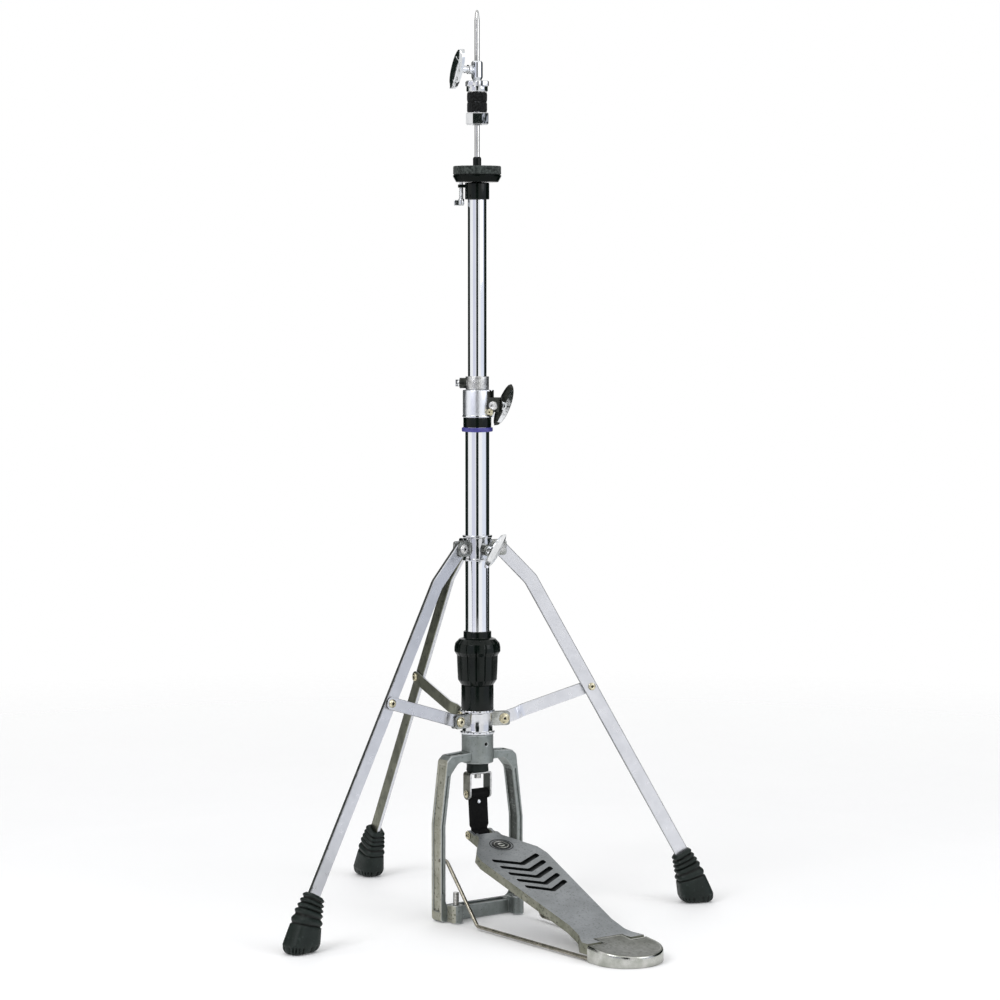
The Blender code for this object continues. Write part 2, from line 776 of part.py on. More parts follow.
def strap():
    top = (0.0, SHACKLE_PIN_Z)
    low = (TOE_PIN[1], TOE_PIN[2])
    along = (Vector(low) - Vector(top)).normalized()
    side = Vector((-along.y, along.x)) * STRAP_THICK / 2
    reach = STRAP_LOOP_R * 0.8
    first = Vector(top) + along * reach
    last = Vector(low) - along * reach
    web = [tuple(first + side), tuple(first - side), tuple(last - side), tuple(last + side)]
    pivot = (0.0, *top)
    width = 2 * STRAP_HALF
    body = plate("strap", [web], width, YZ_PLANE, paint=WEBBING, pivot=pivot)
    top_loop = plate("strap_top_loop", [circle(top, STRAP_LOOP_R, 20)], width, YZ_PLANE, pivot=pivot, tool=True)
    low_loop = plate("strap_low_loop", [circle(low, STRAP_LOOP_R, 20)], width, YZ_PLANE, pivot=pivot, tool=True)
    top_bore = bar("strap_top_bore", (-0.03, *top), (0.03, *top), STRAP_TOP_BORE, pivot=pivot, tool=True)
    low_bore = bar("strap_low_bore", (-0.03, *low), (0.03, *low), STRAP_LOW_BORE, pivot=pivot, tool=True)
    fuse(body, top_loop, low_loop)
    cut(body, top_bore, low_bore)
    for way in (-1, 1):
        inner = way * STRAP_LOW_HALF
        outer = way * (STRAP_HALF + 0.005)
        corner_low = (min(inner, outer), low[0] - 0.010, low[1] - 0.010)
        corner_high = (max(inner, outer), low[0] + 0.010, low[1] + 0.0105)
        cut(body, box("strap_corner", corner_low, corner_high, pivot=pivot, tool=True))
    return body


# ---------------------------------------------------------------- tension unit


def lower_tube():
    profile = tube_profile(LOWER_TUBE_R, LOWER_TUBE_BORE, LOWER_TUBE_BOTTOM, LOWER_TUBE_TOP)
    tube = turned("lower_tube", profile, CHROME)
    cut(tube, pin_slot("tube_slot"))
    return tube


def pin_slot(name):
    half = SEAT_PIN_R + 0.0004
    low = (-half, -0.02, SEAT_PIN_Z - SEAT_PIN_R - 0.0015)
    high = (half, 0.02, SEAT_PIN_Z + SEAT_PIN_R + SEAT_TRAVEL + 0.0015)
    return box(name, low, high, tool=True)


def spring_housing():
    profile = [
        (NECK_R, NECK_TOP),
        (NECK_R, SLEEVE_TOP),
        (SLEEVE_R, SLEEVE_TOP),
        (SLEEVE_R, SLEEVE_BOTTOM),
        (COLLAR_BORE, SLEEVE_BOTTOM),
        (COLLAR_BORE, NECK_TOP),
    ]
    housing = turned("spring_housing", profile, BLACK_PLASTIC)
    cut(housing, pin_slot("neck_slot"))
    return housing


def tension_knob():
    bottom = SLEEVE_TOP + GAP
    bore = NECK_R + 0.0004
    shelf = NECK_TOP + 0.0025
    top = 0.3410
    profile = [
        (0.0165, top),
        (0.0165, top - 0.0075),
        (0.0215, top - 0.0090),
        (0.0262, top - 0.0140),
        (0.0273, top - 0.0190),
        (0.0273, top - 0.0240),
        (0.0243, top - 0.0285),
        (0.0231, bottom + 0.0060),
        (0.0192, bottom),
        (bore, bottom),
        (bore, shelf),
        (COLLAR_BORE, shelf),
        (COLLAR_BORE, top),
    ]
    return turned("tension_knob", raised(profile, bottom), BLACK_PLASTIC, (0, 0, bottom))


def spring_seat():
    bottom = SEAT_PIN_Z + SEAT_PIN_R - 0.0006
    radius = LOWER_TUBE_BORE - GAP
    disc = turned("spring_seat", tube_profile(radius, LOWER_ROD_R + 0.0004, bottom, bottom + 0.0044), ZINC,
                  sides=24)
    ends = ((0, -SEAT_PIN_REACH, SEAT_PIN_Z), (0, SEAT_PIN_REACH, SEAT_PIN_Z))
    pin = bar("seat_pin", *ends, SEAT_PIN_R, tool=True)
    bore = bar("seat_bore", (0, 0, 0.29), (0, 0, 0.32), LOWER_ROD_R + 0.0006, tool=True, sides=24)
    fuse(disc, pin)
    cut(disc, bore)
    return disc


def return_spring():
    points = []
    for i in range(SPRING_TURNS * SPRING_STEPS + 1):
        turn = 2 * math.pi * i / SPRING_STEPS
        share = i / (SPRING_TURNS * SPRING_STEPS)
        z = SPRING_BOTTOM + SPRING_WIRE_R + share * (SPRING_TOP - SPRING_BOTTOM - 2 * SPRING_WIRE_R)
        points.append((SPRING_R * math.cos(turn), SPRING_R * math.sin(turn), z))
    spring = wire("return_spring", points, SPRING_WIRE_R, SATIN_STEEL)
    spring.data.bevel_resolution = 1
    return spring


# ---------------------------------------------------------------- height clamp and memory lock


def tube_clamp(frame):
    """A split ring with two lugs on its +x side."""
    outer_turn = math.asin(CLAMP_LUG_HALF / CLAMP_R)
    inner_turn = math.asin(CLAMP_SPLIT_HALF / COLLAR_BORE)
    full = 2 * math.pi
    outline = [
        *arc((0, 0), CLAMP_R, outer_turn, full - outer_turn, 28),
        (CLAMP_LUG_END, -CLAMP_LUG_HALF),
        (CLAMP_LUG_END, -CLAMP_SPLIT_HALF),
        *arc((0, 0), COLLAR_BORE, full - inner_turn, inner_turn, 30),
        (CLAMP_LUG_END, CLAMP_SPLIT_HALF),
        (CLAMP_LUG_END, CLAMP_LUG_HALF),
    ]
    height = CLAMP_TOP - CLAMP_BOTTOM
    middle = (CLAMP_TOP + CLAMP_BOTTOM) / 2
    clamp = plate("tube_clamp", [outline], height, XY_PLANE, (0, 0, middle), CHROME, frame=frame)
    hole = bar("clamp_hole", (CLAMP_BOLT_X, -0.02, CLAMP_BOLT_Z), (CLAMP_BOLT_X, 0.02, CLAMP_BOLT_Z),
               CLAMP_BOLT_R + GAP, frame=frame, tool=True)
    lug_top = box("lug_top", (CLAMP_R + 0.001, -0.02, CLAMP_BOLT_Z + 0.0095), (0.04, 0.02, 0.65), frame=frame,
                  tool=True)
    lug_low = box("lug_low", (CLAMP_R + 0.001, -0.02, 0.58), (0.04, 0.02, CLAMP_BOLT_Z - 0.0075), frame=frame,
                  tool=True)
    cut(clamp, hole, lug_top, lug_low)
    return clamp


def clamp_bolt(frame):
    half = CLAMP_LUG_HALF + GAP
    profile = [
        (0.0, CLAMP_BOLT_TIP),
        (CLAMP_BOLT_R, CLAMP_BOLT_TIP),
        (CLAMP_BOLT_R, -half),
        (0.0055, -half),
        (0.0055, -half - 0.0030),
        (0.0040, -half - 0.0040),
        (0.0, -half - 0.0040),
    ]
    pivot = (CLAMP_BOLT_X, 0.0, CLAMP_BOLT_Z)
    return turned("clamp_bolt", profile, ZINC, pivot, (0, 1, 0), frame, ring=False, sides=FEW_SIDES)


def clamp_wing_nut(frame):
    """The nut on the clamp bolt, drawn as a ring with its wing across the far end."""
    near = CLAMP_LUG_HALF + 0.0006
    bore = CLAMP_BOLT_R + 0.0004
    far = CLAMP_WING_REACH + 0.0015
    profile = [(0.0058, far), (0.0066, near), (bore, near), (bore, far)]
    pivot = (CLAMP_BOLT_X, 0.0, CLAMP_BOLT_Z)
    nut = turned("clamp_wing_nut", profile, CHROME, pivot, (0, 1, 0), frame, sides=FEW_SIDES)
    bm = outline_mesh([stadium((0, -0.0225), (0, 0.0225), 0.0050), circle((0, 0), bore)], 0.0050, XY_PLANE,
                      (0, 0, CLAMP_WING_REACH))
    bmesh.ops.rotate(bm, verts=bm.verts, cent=(0, 0, 0), matrix=Matrix.Rotation(CLAMP_WING_ROLL, 3, "Z"))
    wing = from_bmesh("clamp_nut_wing", bm, tool=True)
    wing.parent = nut
    fuse(nut, wing)
    return nut


def clamp_bush():
    return turned("clamp_bush", tube_profile(0.0166, COLLAR_BORE, RING_TOP + GAP, CLAMP_BOTTOM - GAP),
                  BLACK_PLASTIC)


def clamp_ring():
    return turned("clamp_ring", tube_profile(0.0183, COLLAR_BORE, RING_BOTTOM, RING_TOP), BLUE_NYLON)


def memory_lock(frame):
    lock = turned("memory_lock", tube_profile(0.0138, UPPER_TUBE_R + GAP, LOCK_BOTTOM, LOCK_TOP), SATIN_STEEL,
                  frame=frame)
    boss = bar("lock_boss", (0.0125, 0, LOCK_BOLT_Z), (0.0205, 0, LOCK_BOLT_Z), 0.0062, frame=frame, tool=True)
    hole = bar("lock_hole", (0.0105, 0, LOCK_BOLT_Z), (0.0300, 0, LOCK_BOLT_Z), 0.0029, frame=frame, tool=True)
    fuse(lock, boss)
    cut(lock, hole)
    return lock


def memory_lock_bolt(frame):
    profile = [
        (0.0, 0.0130),
        (0.0020, 0.0130),
        (0.0020, 0.0098),
        (0.0045, 0.0092),
        (0.0045, 0.0078),
        (0.0025, 0.0078),
        (0.0025, -0.0010),
        (0.0, -0.0010),
    ]
    bolt = turned("memory_lock_bolt", profile, ZINC, (0.0130, 0, LOCK_BOLT_Z), (1, 0, 0), frame, ring=False,
                  sides=FEW_SIDES)
    head = box("key_head", (-0.0030, -0.0030, 0.0090), (0.0030, 0.0030, 0.0128), tool=True)
    head.parent = bolt
    fuse(bolt, head)
    return bolt


# ---------------------------------------------------------------- upper tube and cymbal seat


def upper_tube():
    profile = tube_profile(UPPER_TUBE_R, UPPER_TUBE_BORE, UPPER_TUBE_BOTTOM, UPPER_TUBE_TOP)
    return turned("upper_tube", profile, CHROME)


def seat_hub(frame):
    shelf = UPPER_TUBE_TOP + GAP
    profile = [
        (SEAT_HUB_R - 0.001, SEAT_HUB_TOP),
        (SEAT_HUB_R, SEAT_HUB_TOP - 0.001),
        (SEAT_HUB_R, SEAT_HUB_BOTTOM + 0.001),
        (SEAT_HUB_R - 0.001, SEAT_HUB_BOTTOM),
        (UPPER_TUBE_R + GAP, SEAT_HUB_BOTTOM),
        (UPPER_TUBE_R + GAP, shelf),
        (0.0052, shelf),
        (0.0052, SEAT_HUB_TOP),
    ]
    hub = turned("seat_hub", profile, BLACK_PLASTIC, frame=frame)
    ear = box("tilt_ear", (0.0120, -0.0045, 0.8600), (0.0230, 0.0045, 0.8662), frame=frame, tool=True)
    hole = bar("tilt_hole", (TILT_SCREW_X, 0, 0.85), (TILT_SCREW_X, 0, 0.88), TILT_SCREW_R + 0.0004,
               frame=frame, tool=True)
    fuse(hub, ear)
    cut(hub, hole)
    return hub


def rod_sleeve():
    profile = [
        (0.0040, 0.8980),
        (0.0049, 0.8962),
        (0.0049, UPPER_TUBE_TOP + 0.0006),
        (0.0036, UPPER_TUBE_TOP + 0.0006),
        (0.0036, 0.8980),
    ]
    return turned("rod_sleeve", profile, BLACK_PLASTIC, sides=24)


def seat_cup(frame):
    bottom = SEAT_HUB_TOP + 0.0005
    profile = [
        (0.0285, CUP_TOP),
        (0.0285, CUP_TOP - 0.0015),
        (0.0245, bottom),
        (0.0090, bottom),
        (0.0090, CUP_TOP),
    ]
    return on_hinge(turned("seat_cup", profile, BLACK_PLASTIC, frame=frame))


def seat_felt(frame):
    bottom = CUP_TOP + GAP
    profile = [
        (0.0272, FELT_TOP),
        (0.0280, FELT_TOP - 0.0010),
        (0.0280, bottom + 0.0008),
        (0.0272, bottom),
        (0.0090, bottom),
        (0.0090, FELT_TOP),
    ]
    return on_hinge(turned("seat_felt", profile, GREY_FELT, frame=frame))


def on_hinge(obj):
    """Moves a piece drawn on the tube's axis into a frame whose origin is on the tilting hinge."""
    hinge_x, hinge_z = SEAT_HINGE
    obj.location = (-hinge_x, 0.0, -hinge_z)
    return obj


def hinge_frame(seat_frame):
    """An empty on the cup's tilting hinge."""
    hinge_x, hinge_z = SEAT_HINGE
    frame = empty("seat_hinge_frame", 0.0)
    frame.parent = seat_frame
    frame.location = (hinge_x, 0.0, hinge_z)
    return frame


def tilt_screw(frame):
    bottom = 0.8410
    profile = [
        (0.0, 0.8682),
        (0.0018, 0.8682),
        (TILT_SCREW_R, 0.8672),
        (TILT_SCREW_R, 0.8500),
        (0.0034, 0.8490),
        (0.0034, bottom),
        (0.0, bottom),
    ]
    pivot = (TILT_SCREW_X, 0.0, bottom)
    screw = turned("tilt_screw", raised(profile, bottom), CHROME, pivot, frame=frame, ring=False,
                   sides=FEW_SIDES)
    wing = box("tilt_wing", (-0.0025, -0.0013, 0.0005), (0.0085, 0.0013, 0.0075), tool=True)
    wing.parent = screw
    fuse(screw, wing)
    return screw


# ---------------------------------------------------------------- clutch


def clutch_body(frame):
    bore = PULL_ROD_R + GAP
    profile = [
        (CLUTCH_BODY_R - 0.002, CLUTCH_TOP),
        (CLUTCH_BODY_R, CLUTCH_TOP - 0.002),
        (CLUTCH_BODY_R, 0.9895),
        (CLUTCH_TUBE_R, 0.9868),
        (CLUTCH_TUBE_R, CLUTCH_BOTTOM),
        (bore, CLUTCH_BOTTOM),
        (bore, CLUTCH_TOP),
    ]
    body = turned("clutch_body", profile, CHROME, frame=frame, sides=24)
    hole = bar("clutch_hole", (0.001, 0, CLUTCH_SCREW_Z), (0.02, 0, CLUTCH_SCREW_Z), 0.0028, frame=frame,
               tool=True)
    cut(body, hole)
    return body


def clutch_lock_nut():
    """A six-lobed nut on a plain flange."""
    flange_bottom = 0.9733
    flange_top = 0.9795
    top = 0.9860
    lobes = []
    for i in range(48):
        turn = 2 * math.pi * i / 48
        radius = 0.0135 + 0.0011 * math.cos(6 * turn)
        lobes.append((radius * math.cos(turn), radius * math.sin(turn)))
    bore = circle((0, 0), CLUTCH_TUBE_R + GAP, 24)
    middle = (flange_top + top) / 2 - 0.0002
    nut = plate("clutch_lock_nut", [lobes, bore], top - flange_top + 0.0004, XY_PLANE, (0, 0, middle), CHROME)
    flange = turned("lock_flange", tube_profile(0.0126, CLUTCH_TUBE_R + GAP, flange_bottom, flange_top), tool=True,
                    sides=24)
    fuse(nut, flange)
    return nut


def clutch_felt(name, bottom, top):
    waist = 0.0112
    full = 0.0117
    profile = [
        (waist, top),
        (full, top - 0.002),
        (full, bottom + 0.002),
        (waist, bottom),
        (CLUTCH_TUBE_R + GAP, bottom),
        (CLUTCH_TUBE_R + GAP, top),
    ]
    return turned(name, profile, BLACK_FELT, sides=24)


def clutch_bottom_nut():
    bottom = 0.9350
    top = 0.9494
    outline = circle((0, 0), 0.0142, 8)
    bore = circle((0, 0), CLUTCH_TUBE_R + 0.0005, 24)
    return plate("clutch_bottom_nut", [outline, bore], top - bottom, XY_PLANE, (0, 0, (top + bottom) / 2),
                 CHROME, pivot=(0, 0, bottom))


def clutch_wing_screw(frame):
    start = 0.0033
    profile = [
        (0.0, 0.0245),
        (0.0045, 0.0245),
        (0.0052, 0.0060),
        (0.0024, 0.0050),
        (0.0024, 0.0),
        (0.0, 0.0),
    ]
    pivot = (start, 0.0, CLUTCH_SCREW_Z)
    return wing_part("clutch_wing_screw", profile, 0.0240, 0.0490, 0.0150, 0.0045, math.radians(-28), CHROME,
                     pivot, (1, 0, 0), frame)


# ---------------------------------------------------------------- tripod


def ears(name, frame, pivot, inner, length, height, hole):
    """Two flat ears with a bolt hole, either side of the leg's plane."""
    tools = []
    x, z = pivot
    back = x - length
    outline = rounded([(back, z - height), (x + 0.0070, z - height), (x + 0.0070, z + height), (back, z + height)],
                      0.003)
    for way in (-1, 1):
        centre = (0, way * (inner + EAR_WALL / 2), 0)
        ear = plate(f"{name}_ear", [outline, circle(pivot, hole)], EAR_WALL, XZ_PLANE, centre, frame=frame,
                    tool=True)
        tools.append(ear)
    return tools


def lower_collar(frames):
    lip = 0.0204
    waist = 0.0180
    profile = [
        (lip, LOWER_COLLAR_TOP),
        (lip, LOWER_COLLAR_TOP - 0.003),
        (waist, LOWER_COLLAR_TOP - 0.004),
        (waist, LOWER_COLLAR_BOTTOM + 0.004),
        (lip, LOWER_COLLAR_BOTTOM + 0.003),
        (lip, LOWER_COLLAR_BOTTOM),
        (COLLAR_BORE, LOWER_COLLAR_BOTTOM),
        (COLLAR_BORE, LOWER_COLLAR_TOP),
    ]
    collar = turned("lower_collar", profile, CHROME)
    inner = BRACE_THICK / 2 + 0.0004
    for frame in frames.values():
        fuse(collar, *ears("lower", frame, BRACE_IN, inner, 0.0155, 0.0082, BOLT_R + GAP))
    return collar


def upper_collar(frames, screw_frame):
    profile = [
        (UPPER_COLLAR_R - 0.001, UPPER_COLLAR_TOP),
        (UPPER_COLLAR_R, UPPER_COLLAR_TOP - 0.001),
        (UPPER_COLLAR_R, UPPER_COLLAR_BOTTOM + 0.001),
        (UPPER_COLLAR_R - 0.001, UPPER_COLLAR_BOTTOM),
        (COLLAR_BORE, UPPER_COLLAR_BOTTOM),
        (COLLAR_BORE, UPPER_COLLAR_TOP),
    ]
    collar = turned("upper_collar", profile, CHROME)
    inner = LEG_THICK / 2 + 0.0004
    for frame in frames.values():
        fuse(collar, *ears("upper", frame, LEG_PIVOT, inner, 0.0120, 0.0090, BOLT_R + GAP))
    boss = bar("screw_boss", (0.0158, 0, COLLAR_SCREW_Z), (0.0240, 0, COLLAR_SCREW_Z), 0.0070,
               frame=screw_frame, tool=True)
    hole = bar("screw_hole", (0.0130, 0, COLLAR_SCREW_Z), (0.0300, 0, COLLAR_SCREW_Z), 0.0043,
               frame=screw_frame, tool=True)
    fuse(collar, boss)
    cut(collar, hole)
    return collar


def collar_wing_bolt(frame):
    start = LOWER_TUBE_R + GAP
    profile = [(0.0, 0.0240), (0.0050, 0.0240), (0.0055, 0.0105), (0.0038, 0.0095), (0.0038, 0.0), (0.0, 0.0)]
    pivot = (start, 0.0, COLLAR_SCREW_Z)
    return wing_part("collar_wing_bolt", profile, 0.0225, 0.0490, 0.0110, 0.0050, math.radians(-36), CHROME,
                     pivot, (1, 0, 0), frame)


def leg_outline(grow):
    """A bent strip of the leg's width, widened on each side by the amount given."""
    half = LEG_WIDTH / 2 + grow
    pivot = Vector(LEG_PIVOT)
    bend = Vector(LEG_BEND)
    end = Vector(LEG_END)
    upper = (bend - pivot).normalized()
    lower = (end - bend).normalized()
    upper_side = Vector((upper.y, -upper.x))
    lower_side = Vector((lower.y, -lower.x))
    mitre = (upper_side + lower_side).normalized()
    mitre_reach = half / mitre.dot(upper_side)
    start = math.atan2(upper_side.y, upper_side.x)
    head = arc(tuple(pivot), half, start - math.pi, start, 8)
    return [
        tuple(bend - mitre * mitre_reach),
        *head,
        tuple(bend + mitre * mitre_reach),
        tuple(end + lower_side * half),
        tuple(end - lower_side * half),
    ]


def leg(name, frame):
    outlines = [leg_outline(0.0), circle(LEG_PIVOT, BOLT_R + GAP), circle(BRACE_OUT, BOLT_R + GAP)]
    pivot = (LEG_PIVOT[0], 0.0, LEG_PIVOT[1])
    return plate(name, outlines, LEG_THICK, XZ_PLANE, paint=SATIN_STEEL, pivot=pivot, frame=frame)


def foot(name, frame):
    """A rubber boot lofted through rounded sections, with a socket for the leg."""
    bm = bmesh.new()
    rings = []
    for x, z, tilt, half_x, half_y in FOOT_SECTIONS:
        lean = Matrix.Rotation(-math.radians(tilt), 3, "Y")
        ring = []
        for i in range(20):
            turn = 2 * math.pi * i / 20
            flat = Vector((superellipse(math.cos(turn)) * half_x, superellipse(math.sin(turn)) * half_y, 0.0))
            ring.append(bm.verts.new(lean @ flat + Vector((x, 0.0, z))))
        rings.append(ring)
    for upper, lower in zip(rings, rings[1:]):
        for i in range(20):
            bm.faces.new((upper[i - 1], upper[i], lower[i], lower[i - 1]))
    bm.faces.new(rings[0])
    bm.faces.new(list(reversed(rings[-1])))
    pivot = (LEG_PIVOT[0], 0.0, LEG_PIVOT[1])
    boot = from_bmesh(name, bm, BLACK_RUBBER, pivot, frame)
    socket = plate(f"{name}_socket", [leg_outline(GAP)], LEG_THICK + 2 * GAP, XZ_PLANE, pivot=pivot, frame=frame,
                   tool=True)
    lower = (Vector(LEG_END) - Vector(LEG_BEND)).normalized()
    socket.location += Vector((lower.x, 0.0, lower.y)) * GAP
    cut(boot, socket)
    return boot


def superellipse(value):
    """Squares a circle off towards a rounded rectangle."""
    return math.copysign(abs(value) ** 0.6, value)


def brace(name, frame):
    """A flat strip that steps sideways from the collar's plane to the leg's flank."""
    start = Vector(BRACE_IN)
    end = Vector(BRACE_OUT)
    length = (end - start).length
    along = (end - start) / length
    half = BRACE_THICK / 2
    step = BRACE_STRAIGHT + BRACE_JOGGLE
    over = BRACE_WIDTH / 2 + 0.001
    route = [
        (-over, -half),
        (BRACE_STRAIGHT, -half),
        (step, BRACE_OFFSET - half),
        (length + over, BRACE_OFFSET - half),
        (length + over, BRACE_OFFSET + half),
        (step - 0.0006, BRACE_OFFSET + half),
        (BRACE_STRAIGHT - 0.0006, half),
        (-over, half),
    ]
    lean = Matrix.Rotation(-math.atan2(along.y, along.x), 4, "Y")
    place = Matrix.Translation((start.x, 0.0, start.y)) @ lean
    pivot = (start.x, 0.0, start.y)
    strip = from_bmesh(name, outline_mesh([route], BRACE_WIDTH, place, (0, 0, 0)), SATIN_STEEL, pivot, frame)
    face = [stadium(BRACE_IN, BRACE_OUT, BRACE_WIDTH / 2 - 0.0001), circle(BRACE_IN, BOLT_R + GAP),
            circle(BRACE_OUT, BOLT_R + GAP)]
    mask = plate(f"{name}_face", face, 0.04, XZ_PLANE, pivot=pivot, frame=frame, tool=True)
    combine(strip, mask, "INTERSECT")
    return strip


def brace_rivet(name, frame):
    """A rivet through the leg. Its shank stops at the flank that carries the brace."""
    half = LEG_THICK / 2
    profile = [
        (0.0, half),
        (BOLT_R, half),
        (BOLT_R, -half - GAP),
        (BOLT_HEAD_R - 0.001, -half - GAP),
        (BOLT_HEAD_R - 0.001, -half - 0.0012),
        (0.0025, -half - 0.0020),
        (0.0, -half - 0.0020),
    ]
    pivot = (BRACE_OUT[0], 0.0, BRACE_OUT[1])
    return turned(name, profile, ZINC, pivot, (0, 1, 0), frame, ring=False, sides=FEW_SIDES)


def tripod():
    frames = {side: empty(f"{side}_leg_frame", turn) for side, turn in LEG_TURNS.items()}
    screw_frame = empty("collar_screw_frame", COLLAR_SCREW_TURN)
    lower_collar(frames)
    upper_collar(frames, screw_frame)
    collar_wing_bolt(screw_frame)
    for side, frame in frames.items():
        leg(f"{side}_leg", frame)
        foot(f"{side}_foot", frame)
        brace(f"{side}_brace", frame)
        brace_rivet(f"{side}_brace_rivet", frame)
        leg_half = LEG_THICK / 2 + 0.0004 + EAR_WALL + GAP
        headed_pin(f"{side}_leg_bolt", BOLT_R, BOLT_HEAD_R, leg_half, 0.0028, ZINC,
                   (LEG_PIVOT[0], 0, LEG_PIVOT[1]), (0, 1, 0), frame)
        brace_half = BRACE_THICK / 2 + 0.0004 + EAR_WALL + GAP
        headed_pin(f"{side}_brace_bolt", BOLT_R, BOLT_HEAD_R, brace_half, 0.0024, ZINC,
                   (BRACE_IN[0], 0, BRACE_IN[1]), (0, 1, 0), frame)


# ---------------------------------------------------------------- the stand


def pedal():
    pedal_frame()
    for name, side in (("left", -1), ("right", 1)):
        spur_screw(f"spur_screw_{name}", side)
        radius_rod(f"radius_rod_{name}", side)
    heel_plate()
    heel_hinge_pin()
    footboard(board_frame())
    toe_pin()
    lower_rod()
    rod_bumper()
    strap_shackle()
    shackle_pin()
    strap()


def column():
    lower_tube()
    spring_housing()
    tension_knob()
    spring_seat()
    return_spring()
    clamp_frame = empty("clamp_frame", CLAMP_TURN)
    tube_clamp(clamp_frame)
    clamp_bolt(clamp_frame)
    clamp_wing_nut(clamp_frame)
    clamp_bush()
    clamp_ring()
    lock_frame = empty("lock_frame", LOCK_TURN)
    memory_lock(lock_frame)
    memory_lock_bolt(lock_frame)
    upper_tube()


def cymbal_holders():
    seat_frame = empty("seat_frame", SEAT_TURN)
    seat_hub(seat_frame)
    rod_sleeve()
    tilt_frame = hinge_frame(seat_frame)
    seat_cup(tilt_frame)
    seat_felt(tilt_frame)
    tilt_screw(seat_frame)
    clutch_frame = empty("clutch_frame", CLUTCH_TURN)
    pull_rod()
    clutch_body(clutch_frame)
    clutch_lock_nut()
    clutch_felt("clutch_felt_upper", 0.9618, 0.9730)
    clutch_felt("clutch_felt_lower", 0.9497, 0.9612)
    clutch_bottom_nut()
    clutch_wing_screw(clutch_frame)


pedal()
column()
cymbal_holders()
tripod()
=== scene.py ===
"""The looks of the hi-hat stand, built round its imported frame. Metres, in the frame's own coordinates."""

import json
import math

import bmesh
import bpy
from mathutils import Matrix, Vector, noise

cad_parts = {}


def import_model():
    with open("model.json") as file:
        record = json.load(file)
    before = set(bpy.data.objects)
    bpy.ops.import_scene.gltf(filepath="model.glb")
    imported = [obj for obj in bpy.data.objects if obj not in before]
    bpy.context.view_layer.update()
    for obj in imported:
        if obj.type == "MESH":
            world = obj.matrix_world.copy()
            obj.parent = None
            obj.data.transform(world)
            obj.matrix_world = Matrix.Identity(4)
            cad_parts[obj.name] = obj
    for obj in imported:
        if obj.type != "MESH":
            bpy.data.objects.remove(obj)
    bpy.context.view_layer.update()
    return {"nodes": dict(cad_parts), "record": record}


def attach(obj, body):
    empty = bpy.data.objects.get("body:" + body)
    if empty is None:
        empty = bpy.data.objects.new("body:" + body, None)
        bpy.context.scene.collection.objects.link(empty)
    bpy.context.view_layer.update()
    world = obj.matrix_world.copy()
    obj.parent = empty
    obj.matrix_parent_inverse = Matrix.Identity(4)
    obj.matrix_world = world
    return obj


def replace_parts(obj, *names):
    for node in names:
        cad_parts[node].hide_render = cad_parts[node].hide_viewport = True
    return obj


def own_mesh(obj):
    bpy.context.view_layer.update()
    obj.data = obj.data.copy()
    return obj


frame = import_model()
SCENE = bpy.context.scene
BODY_OF = {n: b for b, ns in frame["record"]["behaviour"]["bodies"].items() for n in ns}
TAU = 2 * math.pi
RIGHT_ANGLE = math.pi / 2

XY = Matrix.Identity(4)
XZ = Matrix.Rotation(RIGHT_ANGLE, 4, "X")
YZ = Matrix(((0, 0, 1, 0), (1, 0, 0, 0), (0, 1, 0, 0), (0, 0, 0, 1)))


def turn(degrees):
    return Matrix.Rotation(math.radians(degrees), 4, "Z")


def move(x, y, z):
    return Matrix.Translation((x, y, z))


def along(axis):
    """Turns +Z onto an axis."""
    return Vector(axis).to_track_quat("Z", "Y").to_matrix().to_4x4()


ON_X = along((1, 0, 0))
ON_Y = along((0, 1, 0))
OVER = Matrix.Rotation(math.pi, 4, "X")


# ---------------------------------------------------------------- materials


